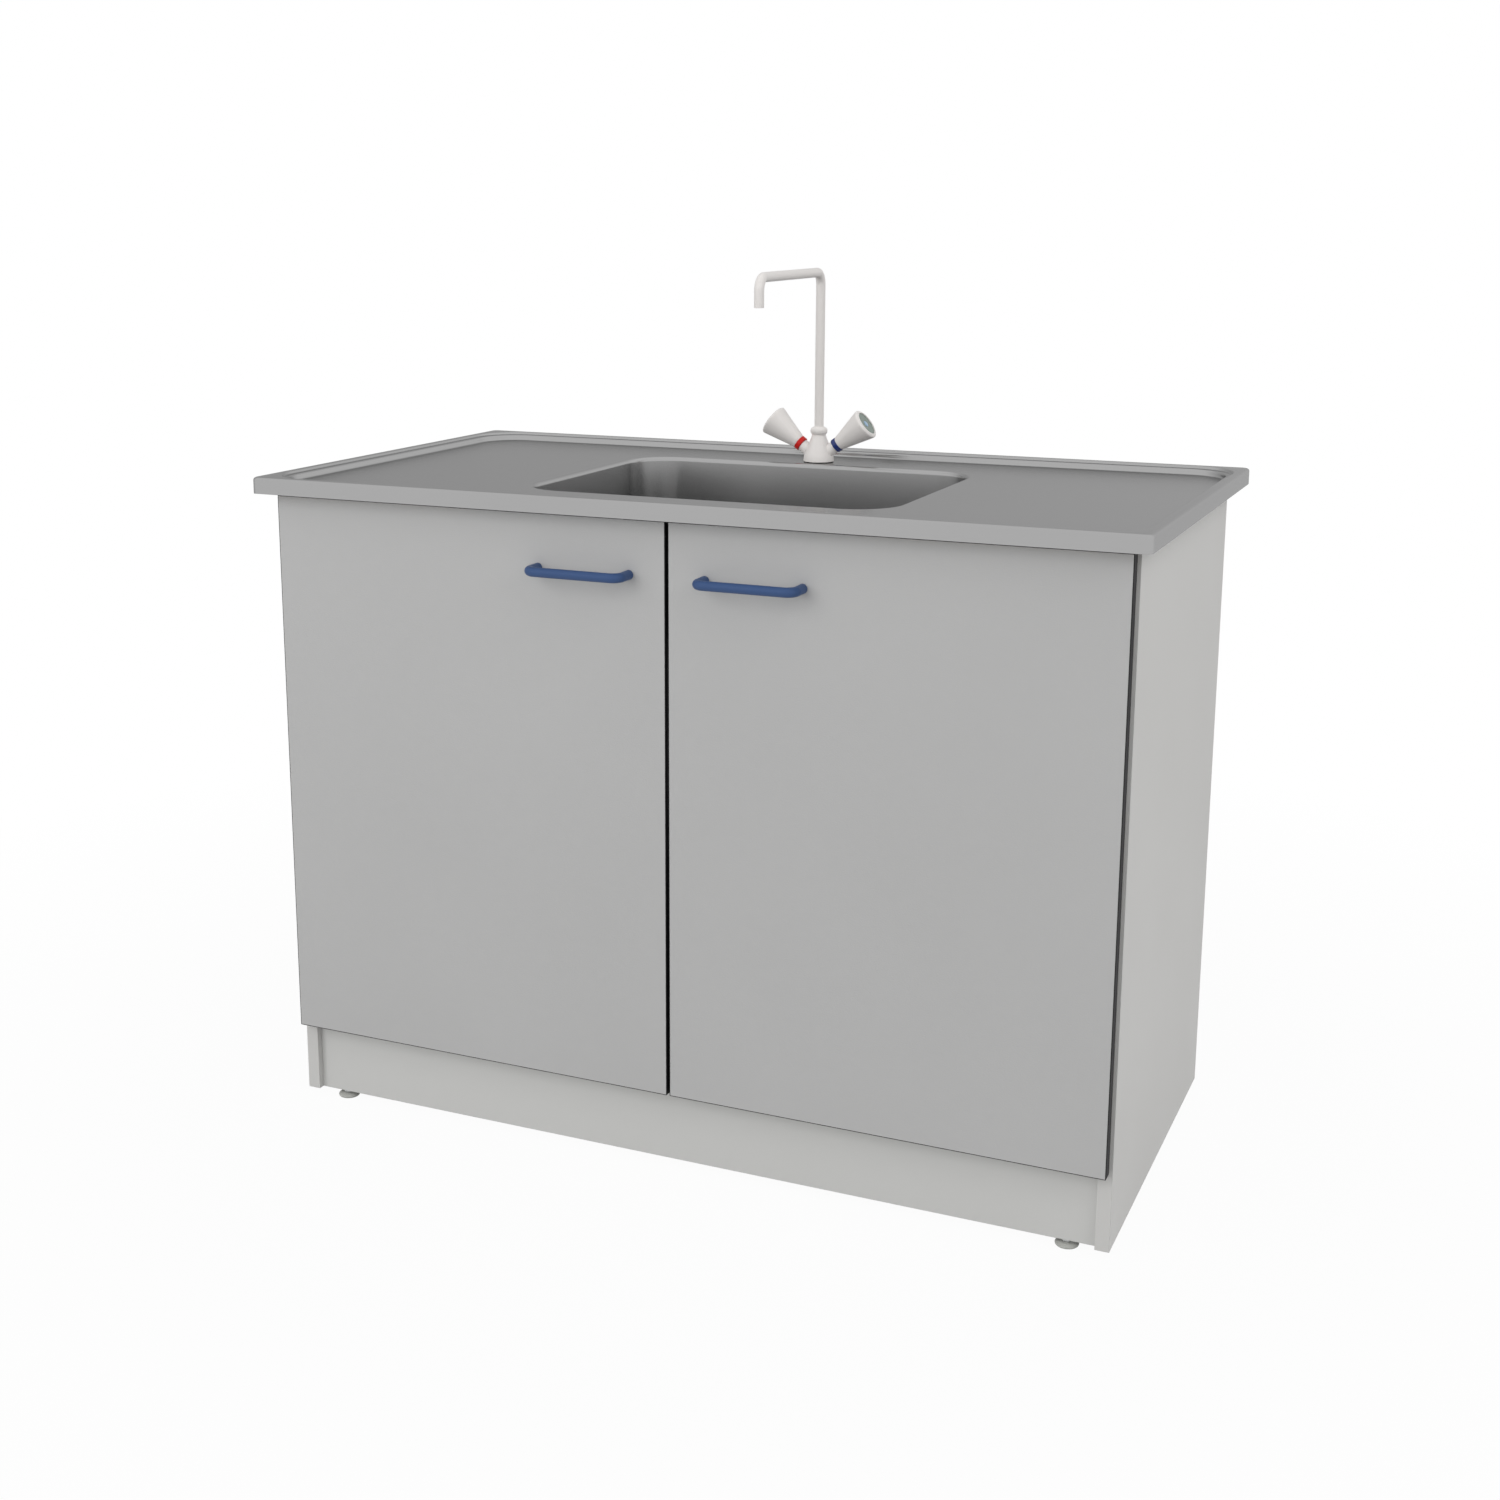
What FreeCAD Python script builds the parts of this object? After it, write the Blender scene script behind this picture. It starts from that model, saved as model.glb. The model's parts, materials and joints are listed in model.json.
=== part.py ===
"""Laboratory sink unit: steel worktop with a welded bowl on a two-door base cabinet.

Millimetres, +Z up. The origin is on the floor, at the middle of the unit's footprint:
X runs along the front from left to right, -Y is the door side.
"""
import FreeCAD
import Part
import math
import os

V = FreeCAD.Vector
X_AXIS = V(1, 0, 0)
Y_AXIS = V(0, 1, 0)
Z_AXIS = V(0, 0, 1)

# ---------------------------------------------------------------- driving dimensions
# Cabinet
CARCASS_W = 1160.0
CARCASS_D = 550.0
CARCASS_H = 865.0
FRONT_Y = -276.0            # front edges of the side panels
FOOT_GAP = 10.0             # floor to the underside of the panels, feet screwed in
BOARD = 18.0                # chipboard thickness
PLINTH_H = 100.0
PLINTH_SETBACK = 9.5
FRONT_RAIL_H = 80.0
REAR_RAIL_Z = (740.0, 830.0)
BACK_T = 3.0                # hardboard back
BACK_CUTOUT = (250.0, 300.0, 650.0, 40.0)   # half width, low z, high z, corner radius
CAM_R = 7.5
CAM_DEPTH = 12.5
CAM_FROM_END = 34.0
BOLT_R = 3.5
BOLT_IN_SIDE = 11.0

# Doors
DOOR_T = 16.0
DOOR_GAP = 3.0              # between a closed door and the carcass
DOOR_REVEAL = 4.0           # side panel seen beside a door
MID_GAP = 4.0               # between the two doors
DOOR_TOP_GAP = 4.0          # door to the worktop's lower edge
DOOR_LIFT = 3.0             # door's lower edge above the plinth's top
EDGE_T = 1.0                # black edge banding

# Worktop
TOP_W = 1200.0
TOP_D = 650.0
TOP_H = 22.0
TOP_BACK_Y = 330.0
SHEET = 1.2                 # stainless sheet
RECESS = 12.0               # drainboard below the rim
FLANGE_IN = 15.0            # return flange under the rim
BOARD_CLEAR = 14.0          # bowl's opening to the underlay board beside it
BOWL_X, BOWL_Y = 512.0, 395.0
BOWL_MID = (-10.0, 8.0)     # the bowl lies a little left of the unit's middle
BOWL_R = 60.0
BOWL_FLOOR_Z = 685.0
BOWL_FILLET = 30.0
LIP_H = 6.0                 # depth of the rounded lip round the bowl
BOWL_TAPER = 4.0            # the bowl is this much narrower at its knee, on each side
FILLET_STEPS = 6            # facets of the bowl floor's rounded edge
# Section of the rim, from the skirt's lower edge inwards: inset, drop below the rim's
# top, corner radius of the outline there
OUTER_RIM = [(0.0, TOP_H, 8.0), (0.0, 4.0, 8.0), (0.5, 2.0, 8.0), (1.9, 0.5, 8.0),
             (4.0, 0.0, 9.0), (10.4, 0.0, 62.0)]
INNER_RIM = [(11.6, 0.8, 62.0), (12.6, 2.5, 61.5), (14.2, 3.4, 61.0), (19.2, 4.1, 59.0),
             (20.7, 5.5, 58.0), (22.1, 8.7, 57.0), (24.0, 11.0, 56.0), (28.0, RECESS, 54.0)]
# Rounded lip round the bowl: distance outside the opening, drop below the deck
LIP = [(6.0, 0.0), (2.7, 0.8), (0.8, 2.7), (0.0, LIP_H)]

# Tap
TAP_X, TAP_Y = -4.0, 241.0
TAP_BASE_R = 22.2
PIPE_R = 6.7
PIPE_BORE = 5.2
SPOUT_REACH = 260.0
SPOUT_ARM_Z = 1158.0
SPOUT_TIP_Z = 1118.4
SPOUT_BEND = 18.0
SPOUT_TURN = 2.5            # degrees, how the spout stands when nobody has moved it
HANDLE_TILT = 36.5          # degrees above level
TAP_HOLE_R = 17.0
SHANK_R = 13.0
SHANK_LOW_Z = 842.0
GASKET_T = 1.0
BODY_TOP_Z = 924.0
COLLAR_Z = 930.8
SOCKET_FLOOR_Z = 902.0
AXES_Z = 889.8              # where the handles' axes meet the tap's own
STUB_R = 9.0
STUB_END = 31.7
VALVE_R = 6.0
VALVE_L = 16.0
RING_R = 10.6
RING_SPAN = (32.0, 38.8)
HANDLE_SPAN = (38.8, 92.0)
HANDLE_R = 23.0
CAP_R = 17.5
DOT_R = 5.0
SPINDLE_R = 3.0
INLET_R = 4.46
INLET_DEPTH = 16.0
INLET_OFFSET = 6.5
WASHER_R = 23.0             # clear of the bowl's lip
NUT_AF = 36.0               # across flats
RUNNING = 0.05              # radial clearance of shafts and pins

# Bow handles
BOW_CENTRES = 128.0
BOW_PROJECTION = 38.0
BOW_R = 6.5
BOW_BEND = 12.0
BOW_FROM_EDGE = 50.0        # first foot to the door's inner edge
BOW_Z = 801.0

# Concealed hinges: distances are measured inwards from the side panel's outer face (u)
# and back from the carcass front (v)
PIVOT_U, PIVOT_V = 11.0, -11.0
CUP_U = 25.0
CUP_R = 17.5
CUP_DEPTH = 12.0
HINGE_FROM_END = 100.0
ARM_REACH = 12.0
POCKET_U = (7.9, 28.0)
POCKET_HALF = 6.0
KNUCKLE_R = 2.4
KNUCKLE_HALF = 4.8
PIN_R = 1.25
PIN_HALF = 8.0
ARM_T = 2.5
ARM_BACK_V = 58.0
PLATE_V = (22.0, 56.0)
PLATE_HALF = 22.0
CUP_FLANGE_T = 1.2

# Levelling feet
FOOT_X = 524.0
FOOT_R = 15.0
STUD_R = 4.0
INSERT_R = 6.0
INSERT_L = 25.0
DISC_H = 6.0
DISC_FLOOR = 3.0
STUD_TOP_Z = 52.0
COLLAR_AF = 13.0

# Waste and trap
WASTE_R = 26.0
SEAL_R = 34.0
SEAL_T = 3.0
GRID_R = 35.0
GRID_HOLE_R = 2.6
GRID_RINGS = ((8.5, 6), (15.0, 12))    # radius of a ring of holes, holes in it
DRAIN_HALF = 60.0           # half width of the flat round the drain
DRAIN_CORNER = 50.0
TAIL_R = 20.0               # outside of the waste's tail
TAIL_BORE = 16.5
TAIL_L = 60.0
NUT_DROP = 40.0             # bowl's underside to the top of the inlet nut
NUT_FLUTES = 12
TRAP_R = 29.0
TRAP_CUP_R = 34.0
TRAP_WALL = 2.5
DIP_R = 18.5                # outside of the dip tube and the outlet elbow
OUTLET_NUT_R = 26.0
TRAP_OUTLET_Z = 585.0
OUTLET_R = 20.0
SPIGOT_R = 19.6             # the outlet pipe's turned-down end, held by its nut
SPIGOT_L = 10.0
OUTLET_BORE = 18.0
OUTLET_L = 140.0

# ---------------------------------------------------------------- derived places
HALF_W = CARCASS_W / 2
INNER_W = HALF_W - BOARD
BACK_Y = FRONT_Y + CARCASS_D
BASE_Z = FOOT_GAP
CARCASS_TOP = BASE_Z + CARCASS_H
PLINTH_TOP = BASE_Z + PLINTH_H
FLOOR_PANEL_TOP = PLINTH_TOP + BOARD
PLINTH_FRONT_Y = FRONT_Y + PLINTH_SETBACK
PLINTH_REAR_Y = BACK_Y - PLINTH_SETBACK - BOARD
DOOR_BACK_Y = FRONT_Y - DOOR_GAP
DOOR_FRONT_Y = DOOR_BACK_Y - DOOR_T
DOOR_OUT_X = HALF_W - DOOR_REVEAL
DOOR_IN_X = MID_GAP / 2
DOOR_LOW_Z = PLINTH_TOP + DOOR_LIFT
DOOR_TOP_Z = CARCASS_TOP - DOOR_TOP_GAP
HINGE_Z = (DOOR_LOW_Z + HINGE_FROM_END, DOOR_TOP_Z - HINGE_FROM_END)
TOP_Z = CARCASS_TOP + TOP_H
DECK_Z = TOP_Z - RECESS
DECK_UNDER_Z = DECK_Z - SHEET
TOP_MID_Y = TOP_BACK_Y - TOP_D / 2
TOP_MID = (0.0, TOP_MID_Y)
LIP_Z = DECK_Z - LIP_H
DRAIN_Z = BOWL_FLOOR_Z - 3.0
SIDES = {"left": -1, "right": 1}

os.makedirs("parts", exist_ok=True)
made = {}


# ---------------------------------------------------------------- small helpers
def keep(name, shape):
    """Hold one node's shape, which later pieces may still drill."""
    made[name] = shape


def drill(name, tools):
    """Cut fasteners' seats out of a node that is already made."""
    for tool in tools:
        made[name] = made[name].cut(tool)


def write(name, shape):
    """Write one node to its file."""
    if len(shape.Solids) == 1:
        shape = shape.Solids[0]
    if not shape.isValid():
        raise ValueError(name + " is not a valid solid")
    shape.exportStep("parts/" + name + ".step")
    print(name, len(shape.Solids), "solid(s)", round(shape.Volume / 1000.0, 2), "cm3")


def box(x0, x1, y0, y1, z0, z1):
    """A box between two values on each axis, given in either order."""
    low = V(min(x0, x1), min(y0, y1), min(z0, z1))
    return Part.makeBox(abs(x1 - x0), abs(y1 - y0), abs(z1 - z0), low)


def rod(start, axis, radius, length):
    """A cylinder from start, along axis."""
    return Part.makeCylinder(radius, length, start, axis)


def tube(start, axis, outer, inner, length):
    """A straight tube from start, along axis."""
    return rod(start, axis, outer, length).cut(rod(start, axis, inner, length))


def turned(profile, x=0.0, y=0.0):
    """A body turned about Z through (x, y) from a closed profile of (radius, z)."""
    points = [V(x + r, y, z) for r, z in profile]
    face = Part.Face(Part.makePolygon(points + points[:1]))
    return face.revolve(V(x, y, 0), Z_AXIS, 360)


def hex_bar(centre, across_flats, z0, z1):
    """A hexagonal prism standing on Z."""
    radius = across_flats / math.sqrt(3)
    corners = [V(centre.x + radius * math.cos(math.radians(60 * i)),
                 centre.y + radius * math.sin(math.radians(60 * i)), z0) for i in range(7)]
    return Part.Face(Part.makePolygon(corners)).extrude(V(0, 0, z1 - z0))


def group(shapes):
    """Separate solids that share one node."""
    return Part.makeCompound(list(shapes))


def mirrored(shape):
    """The same piece on the other side of the unit."""
    return shape.mirror(V(0, 0, 0), X_AXIS)


def on_side(shape, side):
    """A piece modelled for the right side, put on the side asked for."""
    return shape if side > 0 else mirrored(shape)


def rounded_loop(half_x, half_y, radius, z, centre):
    """A closed rectangular wire with round corners, level at height z."""
    mx, my = centre
    cx, cy = half_x - radius, half_y - radius
    diagonal = radius * math.sqrt(0.5)
    edges = []
    corners = [(1, 1), (-1, 1), (-1, -1), (1, -1)]
    for i, (sx, sy) in enumerate(corners):
        nx, ny = corners[(i + 1) % 4]
        along_x = sx * sy > 0
        first = V(mx + sx * (cx + radius), my + sy * cy, z)
        last = V(mx + sx * cx, my + sy * (cy + radius), z)
        if not along_x:
            first, last = last, first
        middle = V(mx + sx * (cx + diagonal), my + sy * (cy + diagonal), z)
        edges.append(Part.Arc(first, middle, last).toShape())
        if along_x:
            following = V(mx + nx * cx, my + ny * (cy + radius), z)
        else:
            following = V(mx + nx * (cx + radius), my + ny * cy, z)
        edges.append(Part.LineSegment(last, following).toShape())
    return Part.Wire(edges)


def skinned(loops, closed):
    """A solid whose skin runs through the loops; it closes on itself or is capped."""
    pairs = list(zip(loops, loops[1:]))
    if closed:
        pairs.append((loops[-1], loops[0]))
    faces = []
    for one, other in pairs:
        if abs(one.BoundBox.ZMin - other.BoundBox.ZMin) < 1e-6:
            outer, inner = sorted((one, other), key=lambda w: -w.BoundBox.XLength)
            faces += Part.Face(outer).cut(Part.Face(inner)).Faces
        else:
            faces += Part.makeLoft([one, other], False, True).Faces
    if not closed:
        faces += [Part.Face(loops[0]), Part.Face(loops[-1])]
    shell = Part.makeShell(faces)
    shell.sewShape()
    solid = Part.makeSolid(shell if shell.ShapeType == "Shell" else shell.Shells[0])
    if solid.Volume < 0:
        solid.reverse()
    return solid


# ---------------------------------------------------------------- cabinet
def side_panel(side):
    """One side of the carcass, standing right down beside the plinth."""
    panel = box(INNER_W, HALF_W, FRONT_Y, BACK_Y, BASE_Z, CARCASS_TOP)
    return on_side(panel, side)


def cam_and_bolt(side, at, inward, cam_low):
    """A cam lock in the end of a board, and its bolt into the side panel.

    at is (y, z) of the bolt, inward the direction in which the cam was pressed in,
    cam_low the board face that the cam is pressed in from.
    """
    y, z = at
    x = INNER_W - CAM_FROM_END
    start = V(x, y, cam_low) if inward.z else V(x, cam_low, z)
    cam = rod(start, inward, CAM_R, CAM_DEPTH)
    slot = rod(start, inward, CAM_R * 0.55, 1.2)
    bolt = rod(V(x - 2.0, y, z), X_AXIS, BOLT_R, CAM_FROM_END + 2.0 + BOLT_IN_SIDE)
    cam = cam.cut(bolt).cut(slot.common(box(x - 1.0, x + 1.0, y - 9, y + 9, z - 9, z + 9)))
    return on_side(cam, side), on_side(bolt, side), on_side(rod(start, inward, CAM_R, CAM_DEPTH), side)


def build_carcass():
    """Boards, connectors, back and plinths of the base cabinet."""
    panels = {name: side_panel(side) for name, side in SIDES.items()}
    floor = box(-INNER_W, INNER_W, FRONT_Y, BACK_Y, PLINTH_TOP, FLOOR_PANEL_TOP)
    rail_z = CARCASS_TOP - FRONT_RAIL_H
    front_rail = box(-INNER_W, INNER_W, FRONT_Y, FRONT_Y + BOARD, rail_z, CARCASS_TOP)
    rear_rail = box(-INNER_W, INNER_W, BACK_Y - BOARD, BACK_Y, *REAR_RAIL_Z)
    plinth_front = box(-INNER_W, INNER_W, PLINTH_FRONT_Y, PLINTH_FRONT_Y + BOARD,
                       BASE_Z, PLINTH_TOP)
    plinth_rear = box(-INNER_W, INNER_W, PLINTH_REAR_Y, PLINTH_REAR_Y + BOARD,
                      BASE_Z, PLINTH_TOP)

    boards = {"floor_panel": floor, "front_rail": front_rail, "rear_rail": rear_rail,
              "plinth_front": plinth_front, "plinth_rear": plinth_rear}
    mid = BOARD / 2
    rear_mid_z = sum(REAR_RAIL_Z) / 2
    up, back, front = V(0, 0, 1), V(0, 1, 0), V(0, -1, 0)
    places = [("floor_panel", (FRONT_Y + 60, PLINTH_TOP + mid), up, PLINTH_TOP),
              ("floor_panel", (BACK_Y - 60, PLINTH_TOP + mid), up, PLINTH_TOP),
              ("front_rail", (FRONT_Y + mid, rail_z + 40), front, FRONT_Y + BOARD),
              ("rear_rail", (BACK_Y - mid, rear_mid_z), back, BACK_Y - BOARD),
              ("plinth_front", (PLINTH_FRONT_Y + mid, 60.0), front, PLINTH_FRONT_Y + BOARD),
              ("plinth_rear", (PLINTH_REAR_Y + mid, 60.0), back, PLINTH_REAR_Y)]
    cams, bolts = [], []
    for board, at, inward, low in places:
        for name, side in SIDES.items():
            cam, bolt, bore = cam_and_bolt(side, at, inward, low)
            boards[board] = boards[board].cut(bore).cut(bolt)
            panels[name] = panels[name].cut(bolt)
            cams.append(cam)
            bolts.append(bolt)

    feet_y = (PLINTH_FRONT_Y + mid, PLINTH_REAR_Y + mid)
    for board, y in (("plinth_front", feet_y[0]), ("plinth_rear", feet_y[1])):
        for x in (-FOOT_X, FOOT_X):
            nut_bore = rod(V(x, y, BASE_Z), Z_AXIS, INSERT_R, INSERT_L)
            stud_bore = rod(V(x, y, BASE_Z), Z_AXIS, STUD_R + 0.6, STUD_TOP_Z + 3.0 - BASE_Z)
            boards[board] = boards[board].cut(nut_bore).cut(stud_bore)

    for name, panel in panels.items():
        keep("side_panel_" + name, panel)
    for name, board in boards.items():
        keep(name, board)

    half, low, high, radius = BACK_CUTOUT
    back_panel = box(-HALF_W + 1, HALF_W - 1, BACK_Y, BACK_Y + BACK_T,
                     PLINTH_TOP - 10, CARCASS_TOP - 2)
    opening = box(-half, half, BACK_Y - 1, BACK_Y + BACK_T + 1, low, high)
    corner_edges = [e for e in opening.Edges if abs(e.tangentAt(e.FirstParameter).y) > 0.9]
    back_panel = back_panel.cut(opening.makeFillet(radius, corner_edges))
    keep("back_panel", back_panel)
    keep("cam_connectors", group(cams + bolts))


def back_nails(side):
    """Flat-headed nails through the back into one side panel."""
    nails = []
    for z in (200.0, 350.0, 500.0, 650.0, 800.0):
        x = side * (HALF_W - BOARD / 2)
        shank = rod(V(x, BACK_Y - 15, z), Y_AXIS, 1.2, 15 + BACK_T)
        nails.append(shank.fuse(rod(V(x, BACK_Y + BACK_T, z), Y_AXIS, 3.0, 0.8)))
    return nails


# ---------------------------------------------------------------- levelling feet


def build_feet():
    """Four adjustable feet, screwed into threaded inserts in the plinths' lower edges."""
    mid = BOARD / 2
    inserts = []
    for row, y in (("front", PLINTH_FRONT_Y + mid), ("rear", PLINTH_REAR_Y + mid)):
        for name, side in SIDES.items():
            x = side * FOOT_X
            disc = turned([(0, 0), (FOOT_R - 1.5, 0), (FOOT_R, 1.5), (FOOT_R, 3.5),
                           (FOOT_R - 4.0, DISC_H), (0, DISC_H)], x, y)
            socket = rod(V(x, y, DISC_FLOOR), Z_AXIS, STUD_R + RUNNING, DISC_H)
            stud = rod(V(x, y, DISC_FLOOR), Z_AXIS, STUD_R, STUD_TOP_Z - DISC_FLOOR)
            collar = hex_bar(V(x, y, 0), COLLAR_AF, DISC_H + 0.3, BASE_Z - 0.3)
            keep("foot_disc_%s_%s" % (row, name), disc.cut(socket))
            keep("foot_stud_%s_%s" % (row, name), stud.fuse(collar).removeSplitter())
            inserts.append(tube(V(x, y, BASE_Z), Z_AXIS, INSERT_R, STUD_R + RUNNING, INSERT_L))
    keep("foot_inserts", group(inserts))


# ---------------------------------------------------------------- doors and hinges
def u_to_x(u):
    """Distance in from the right side panel's outer face, as X."""
    return HALF_W - u


def v_to_y(v):
    """Distance back from the carcass front, as Y."""
    return FRONT_Y + v


def hinge_cup(z):
    """The pressed cup with its flange, bored for the pin; modelled for the right door."""
    x, y = u_to_x(CUP_U), v_to_y(-DOOR_GAP)
    cup = rod(V(x, y, z), V(0, -1, 0), CUP_R, CUP_DEPTH)
    flange = box(u_to_x(14), u_to_x(38), y, y + CUP_FLANGE_T, z - 27, z + 27)
    pocket = box(u_to_x(POCKET_U[0]), u_to_x(POCKET_U[1]), y - CUP_DEPTH + 1.0, y + 2,
                 z - POCKET_HALF, z + POCKET_HALF)
    hollow = rod(V(x - 5.0, y + 2, z), V(0, -1, 0), 8.0, CUP_DEPTH)
    pin = hinge_pin(z, 0.0)
    screws = [cup_screw(z, end) for end in (-1, 1)]
    cup = cup.fuse(flange).cut(pocket).cut(hollow).cut(pin)
    for screw in screws:
        cup = cup.cut(screw)
    return cup.Solids[0]


def hinge_pin(z, slack):
    """The hinge pin, held by the cup's two cheeks."""
    start = V(u_to_x(PIVOT_U), v_to_y(PIVOT_V), z - PIN_HALF)
    return rod(start, Z_AXIS, PIN_R + slack, 2 * PIN_HALF)


def cup_screw(z, end):
    """A countersunk wood screw through the cup's flange."""
    x, y = u_to_x(CUP_U + 5.5), v_to_y(-DOOR_GAP)
    zz = z + end * 22.5
    shank = rod(V(x, y + CUP_FLANGE_T, zz), V(0, -1, 0), 1.6, 12.0)
    head = rod(V(x, y + CUP_FLANGE_T, zz), V(0, 1, 0), 3.3, 1.2)
    return shank.fuse(head)


def hinge_arm(z):
    """The cranked arm, from the knuckle in the cup to the plate on the side panel."""
    knuckle_u, knuckle_v = PIVOT_U, PIVOT_V
    half = ARM_T / 2
    leg_u = knuckle_u + ARM_REACH
    low, high = z - KNUCKLE_HALF, z + KNUCKLE_HALF
    knuckle = rod(V(u_to_x(knuckle_u), v_to_y(knuckle_v), low), Z_AXIS, KNUCKLE_R,
                  2 * KNUCKLE_HALF)
    across = box(u_to_x(knuckle_u), u_to_x(leg_u + half),
                 v_to_y(knuckle_v - half), v_to_y(knuckle_v + half), low, high)
    along = box(u_to_x(leg_u - half), u_to_x(leg_u + half),
                v_to_y(knuckle_v - half), v_to_y(ARM_BACK_V), low, high)
    arm = knuckle.fuse(across).fuse(along).removeSplitter()
    arm = arm.cut(hinge_pin(z, RUNNING))
    return arm.cut(arm_screw(z))


def arm_screw(z):
    """The screw that clamps the arm to its plate."""
    leg_u = PIVOT_U + ARM_REACH
    start = V(u_to_x(leg_u + ARM_T / 2), v_to_y(38.0), z)
    head = rod(start, V(-1, 0, 0), 3.4, 2.0)
    shank = rod(start, V(1, 0, 0), 2.0, ARM_T + 3.0)
    return head.fuse(shank)


def hinge_plate(z):
    """The winged plate screwed to the side panel, under the arm."""
    u1 = PIVOT_U + ARM_REACH - ARM_T / 2
    rib = box(u_to_x(BOARD), u_to_x(u1), v_to_y(PLATE_V[0]), v_to_y(PLATE_V[1]),
              z - KNUCKLE_HALF, z + KNUCKLE_HALF)
    wings = box(u_to_x(BOARD), u_to_x(BOARD + 2.0), v_to_y(32.0), v_to_y(44.0),
                z - PLATE_HALF, z + PLATE_HALF)
    plate = rib.fuse(wings).removeSplitter().cut(arm_screw(z))
    for end in (-1, 1):
        plate = plate.cut(plate_screw(z, end))
    return plate


def plate_screw(z, end):
    """A wood screw through one wing of the plate."""
    start = V(u_to_x(BOARD + 2.0), v_to_y(38.0), z + end * 16.0)
    shank = rod(start, V(1, 0, 0), 1.8, 14.0)
    head = rod(start, V(-1, 0, 0), 3.5, 1.6)
    return shank.fuse(head)


def bow_bar():
    """A bow handle's bar, modelled for the right door."""
    near = DOOR_IN_X + BOW_FROM_EDGE
    far = near + BOW_CENTRES
    face, reach = DOOR_FRONT_Y, DOOR_FRONT_Y - BOW_PROJECTION + BOW_R
    b, z = BOW_BEND, BOW_Z
    d = b * (1 - math.sqrt(0.5))
    path = [Part.LineSegment(V(near, face, z), V(near, reach + b, z)).toShape(),
            Part.Arc(V(near, reach + b, z), V(near + d, reach + d, z),
                     V(near + b, reach, z)).toShape(),
            Part.LineSegment(V(near + b, reach, z), V(far - b, reach, z)).toShape(),
            Part.Arc(V(far - b, reach, z), V(far - d, reach + d, z),
                     V(far, reach + b, z)).toShape(),
            Part.LineSegment(V(far, reach + b, z), V(far, face, z)).toShape()]
    section = Part.Wire(Part.makeCircle(BOW_R, V(near, face, z), Y_AXIS))
    bar = Part.Wire(path).makePipeShell([section], True, False)
    for x in (near, far):
        bar = bar.cut(rod(V(x, face, z), V(0, -1, 0), 2.0, 12.0))
    return bar


def bow_screw(x):
    """A pan-head screw from inside the door into the handle's foot."""
    head = rod(V(x, DOOR_BACK_Y, BOW_Z), Y_AXIS, 4.0, 2.0)
    shank = rod(V(x, DOOR_BACK_Y, BOW_Z), V(0, -1, 0), 2.0, DOOR_T + 10.0)
    return head.fuse(shank)


def build_doors():
    """Both doors with their banding, handles, hinge cups and pins."""
    near = DOOR_IN_X + BOW_FROM_EDGE
    blank = box(DOOR_IN_X, DOOR_OUT_X, DOOR_FRONT_Y, DOOR_BACK_Y, DOOR_LOW_Z, DOOR_TOP_Z)
    core = box(DOOR_IN_X + EDGE_T, DOOR_OUT_X - EDGE_T, DOOR_FRONT_Y, DOOR_BACK_Y,
               DOOR_LOW_Z + EDGE_T, DOOR_TOP_Z - EDGE_T)
    banding = blank.cut(core)
    cups = [hinge_cup(z) for z in HINGE_Z]
    cup_screws = [cup_screw(z, end) for z in HINGE_Z for end in (-1, 1)]
    bow_screws = [bow_screw(x) for x in (near, near + BOW_CENTRES)]
    panel = core
    for z in HINGE_Z:
        panel = panel.cut(rod(V(u_to_x(CUP_U), DOOR_BACK_Y, z), V(0, -1, 0), CUP_R, CUP_DEPTH))
    for screw in cup_screws + bow_screws:
        panel = panel.cut(screw)
    arms = [hinge_arm(z) for z in HINGE_Z]
    plates = [hinge_plate(z) for z in HINGE_Z]
    arm_screws = [arm_screw(z) for z in HINGE_Z]
    plate_screws = [plate_screw(z, end) for z in HINGE_Z for end in (-1, 1)]
    pins = [hinge_pin(z, 0.0) for z in HINGE_Z]
    for name, side in SIDES.items():
        fasteners = [on_side(s, side) for s in cup_screws + bow_screws + pins]
        keep("door_panel_" + name, on_side(panel, side))
        keep("door_edging_" + name, on_side(banding, side))
        keep("door_handle_" + name, on_side(bow_bar(), side))
        keep("hinge_cups_" + name, group([on_side(s, side) for s in cups]))
        keep("door_fasteners_" + name, group(fasteners))
    keep("hinge_arms", group([on_side(s, side) for side in (-1, 1) for s in arms + plates]))
    pads = []
    for x in (-30.0, 30.0):
        for z in (PLINTH_TOP + BOARD / 2, CARCASS_TOP - 25.0):
            pads.append(rod(V(x, FRONT_Y, z), V(0, -1, 0), 4.0, DOOR_GAP - 0.3))
    keep("door_bumpers", group(pads))
    return arm_screws + plate_screws


# ---------------------------------------------------------------- worktop and bowl

def rim_loop(inset, drop, radius):
    """One outline of the worktop's section."""
    return rounded_loop(TOP_W / 2 - inset, TOP_D / 2 - inset, radius, TOP_Z - drop, TOP_MID)


def underside(rows):
    """The inner rim's rows moved off the sheet's upper face by its thickness."""
    moved = []
    ahead = rows[1:] + [(rows[-1][0] + 10.0, rows[-1][1], rows[-1][2])]
    for (inset, drop, radius), (next_inset, next_drop, _) in zip(rows, ahead):
        run, fall = next_inset - inset, next_drop - drop
        length = math.hypot(run, fall)
        moved.append((inset - SHEET * fall / length, drop + SHEET * run / length, radius))
    return moved


def bowl_loop(outset, z):
    """The bowl's opening, grown by outset, at height z."""
    return rounded_loop(BOWL_X / 2 + outset, BOWL_Y / 2 + outset, BOWL_R + outset, z, BOWL_MID)


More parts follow.
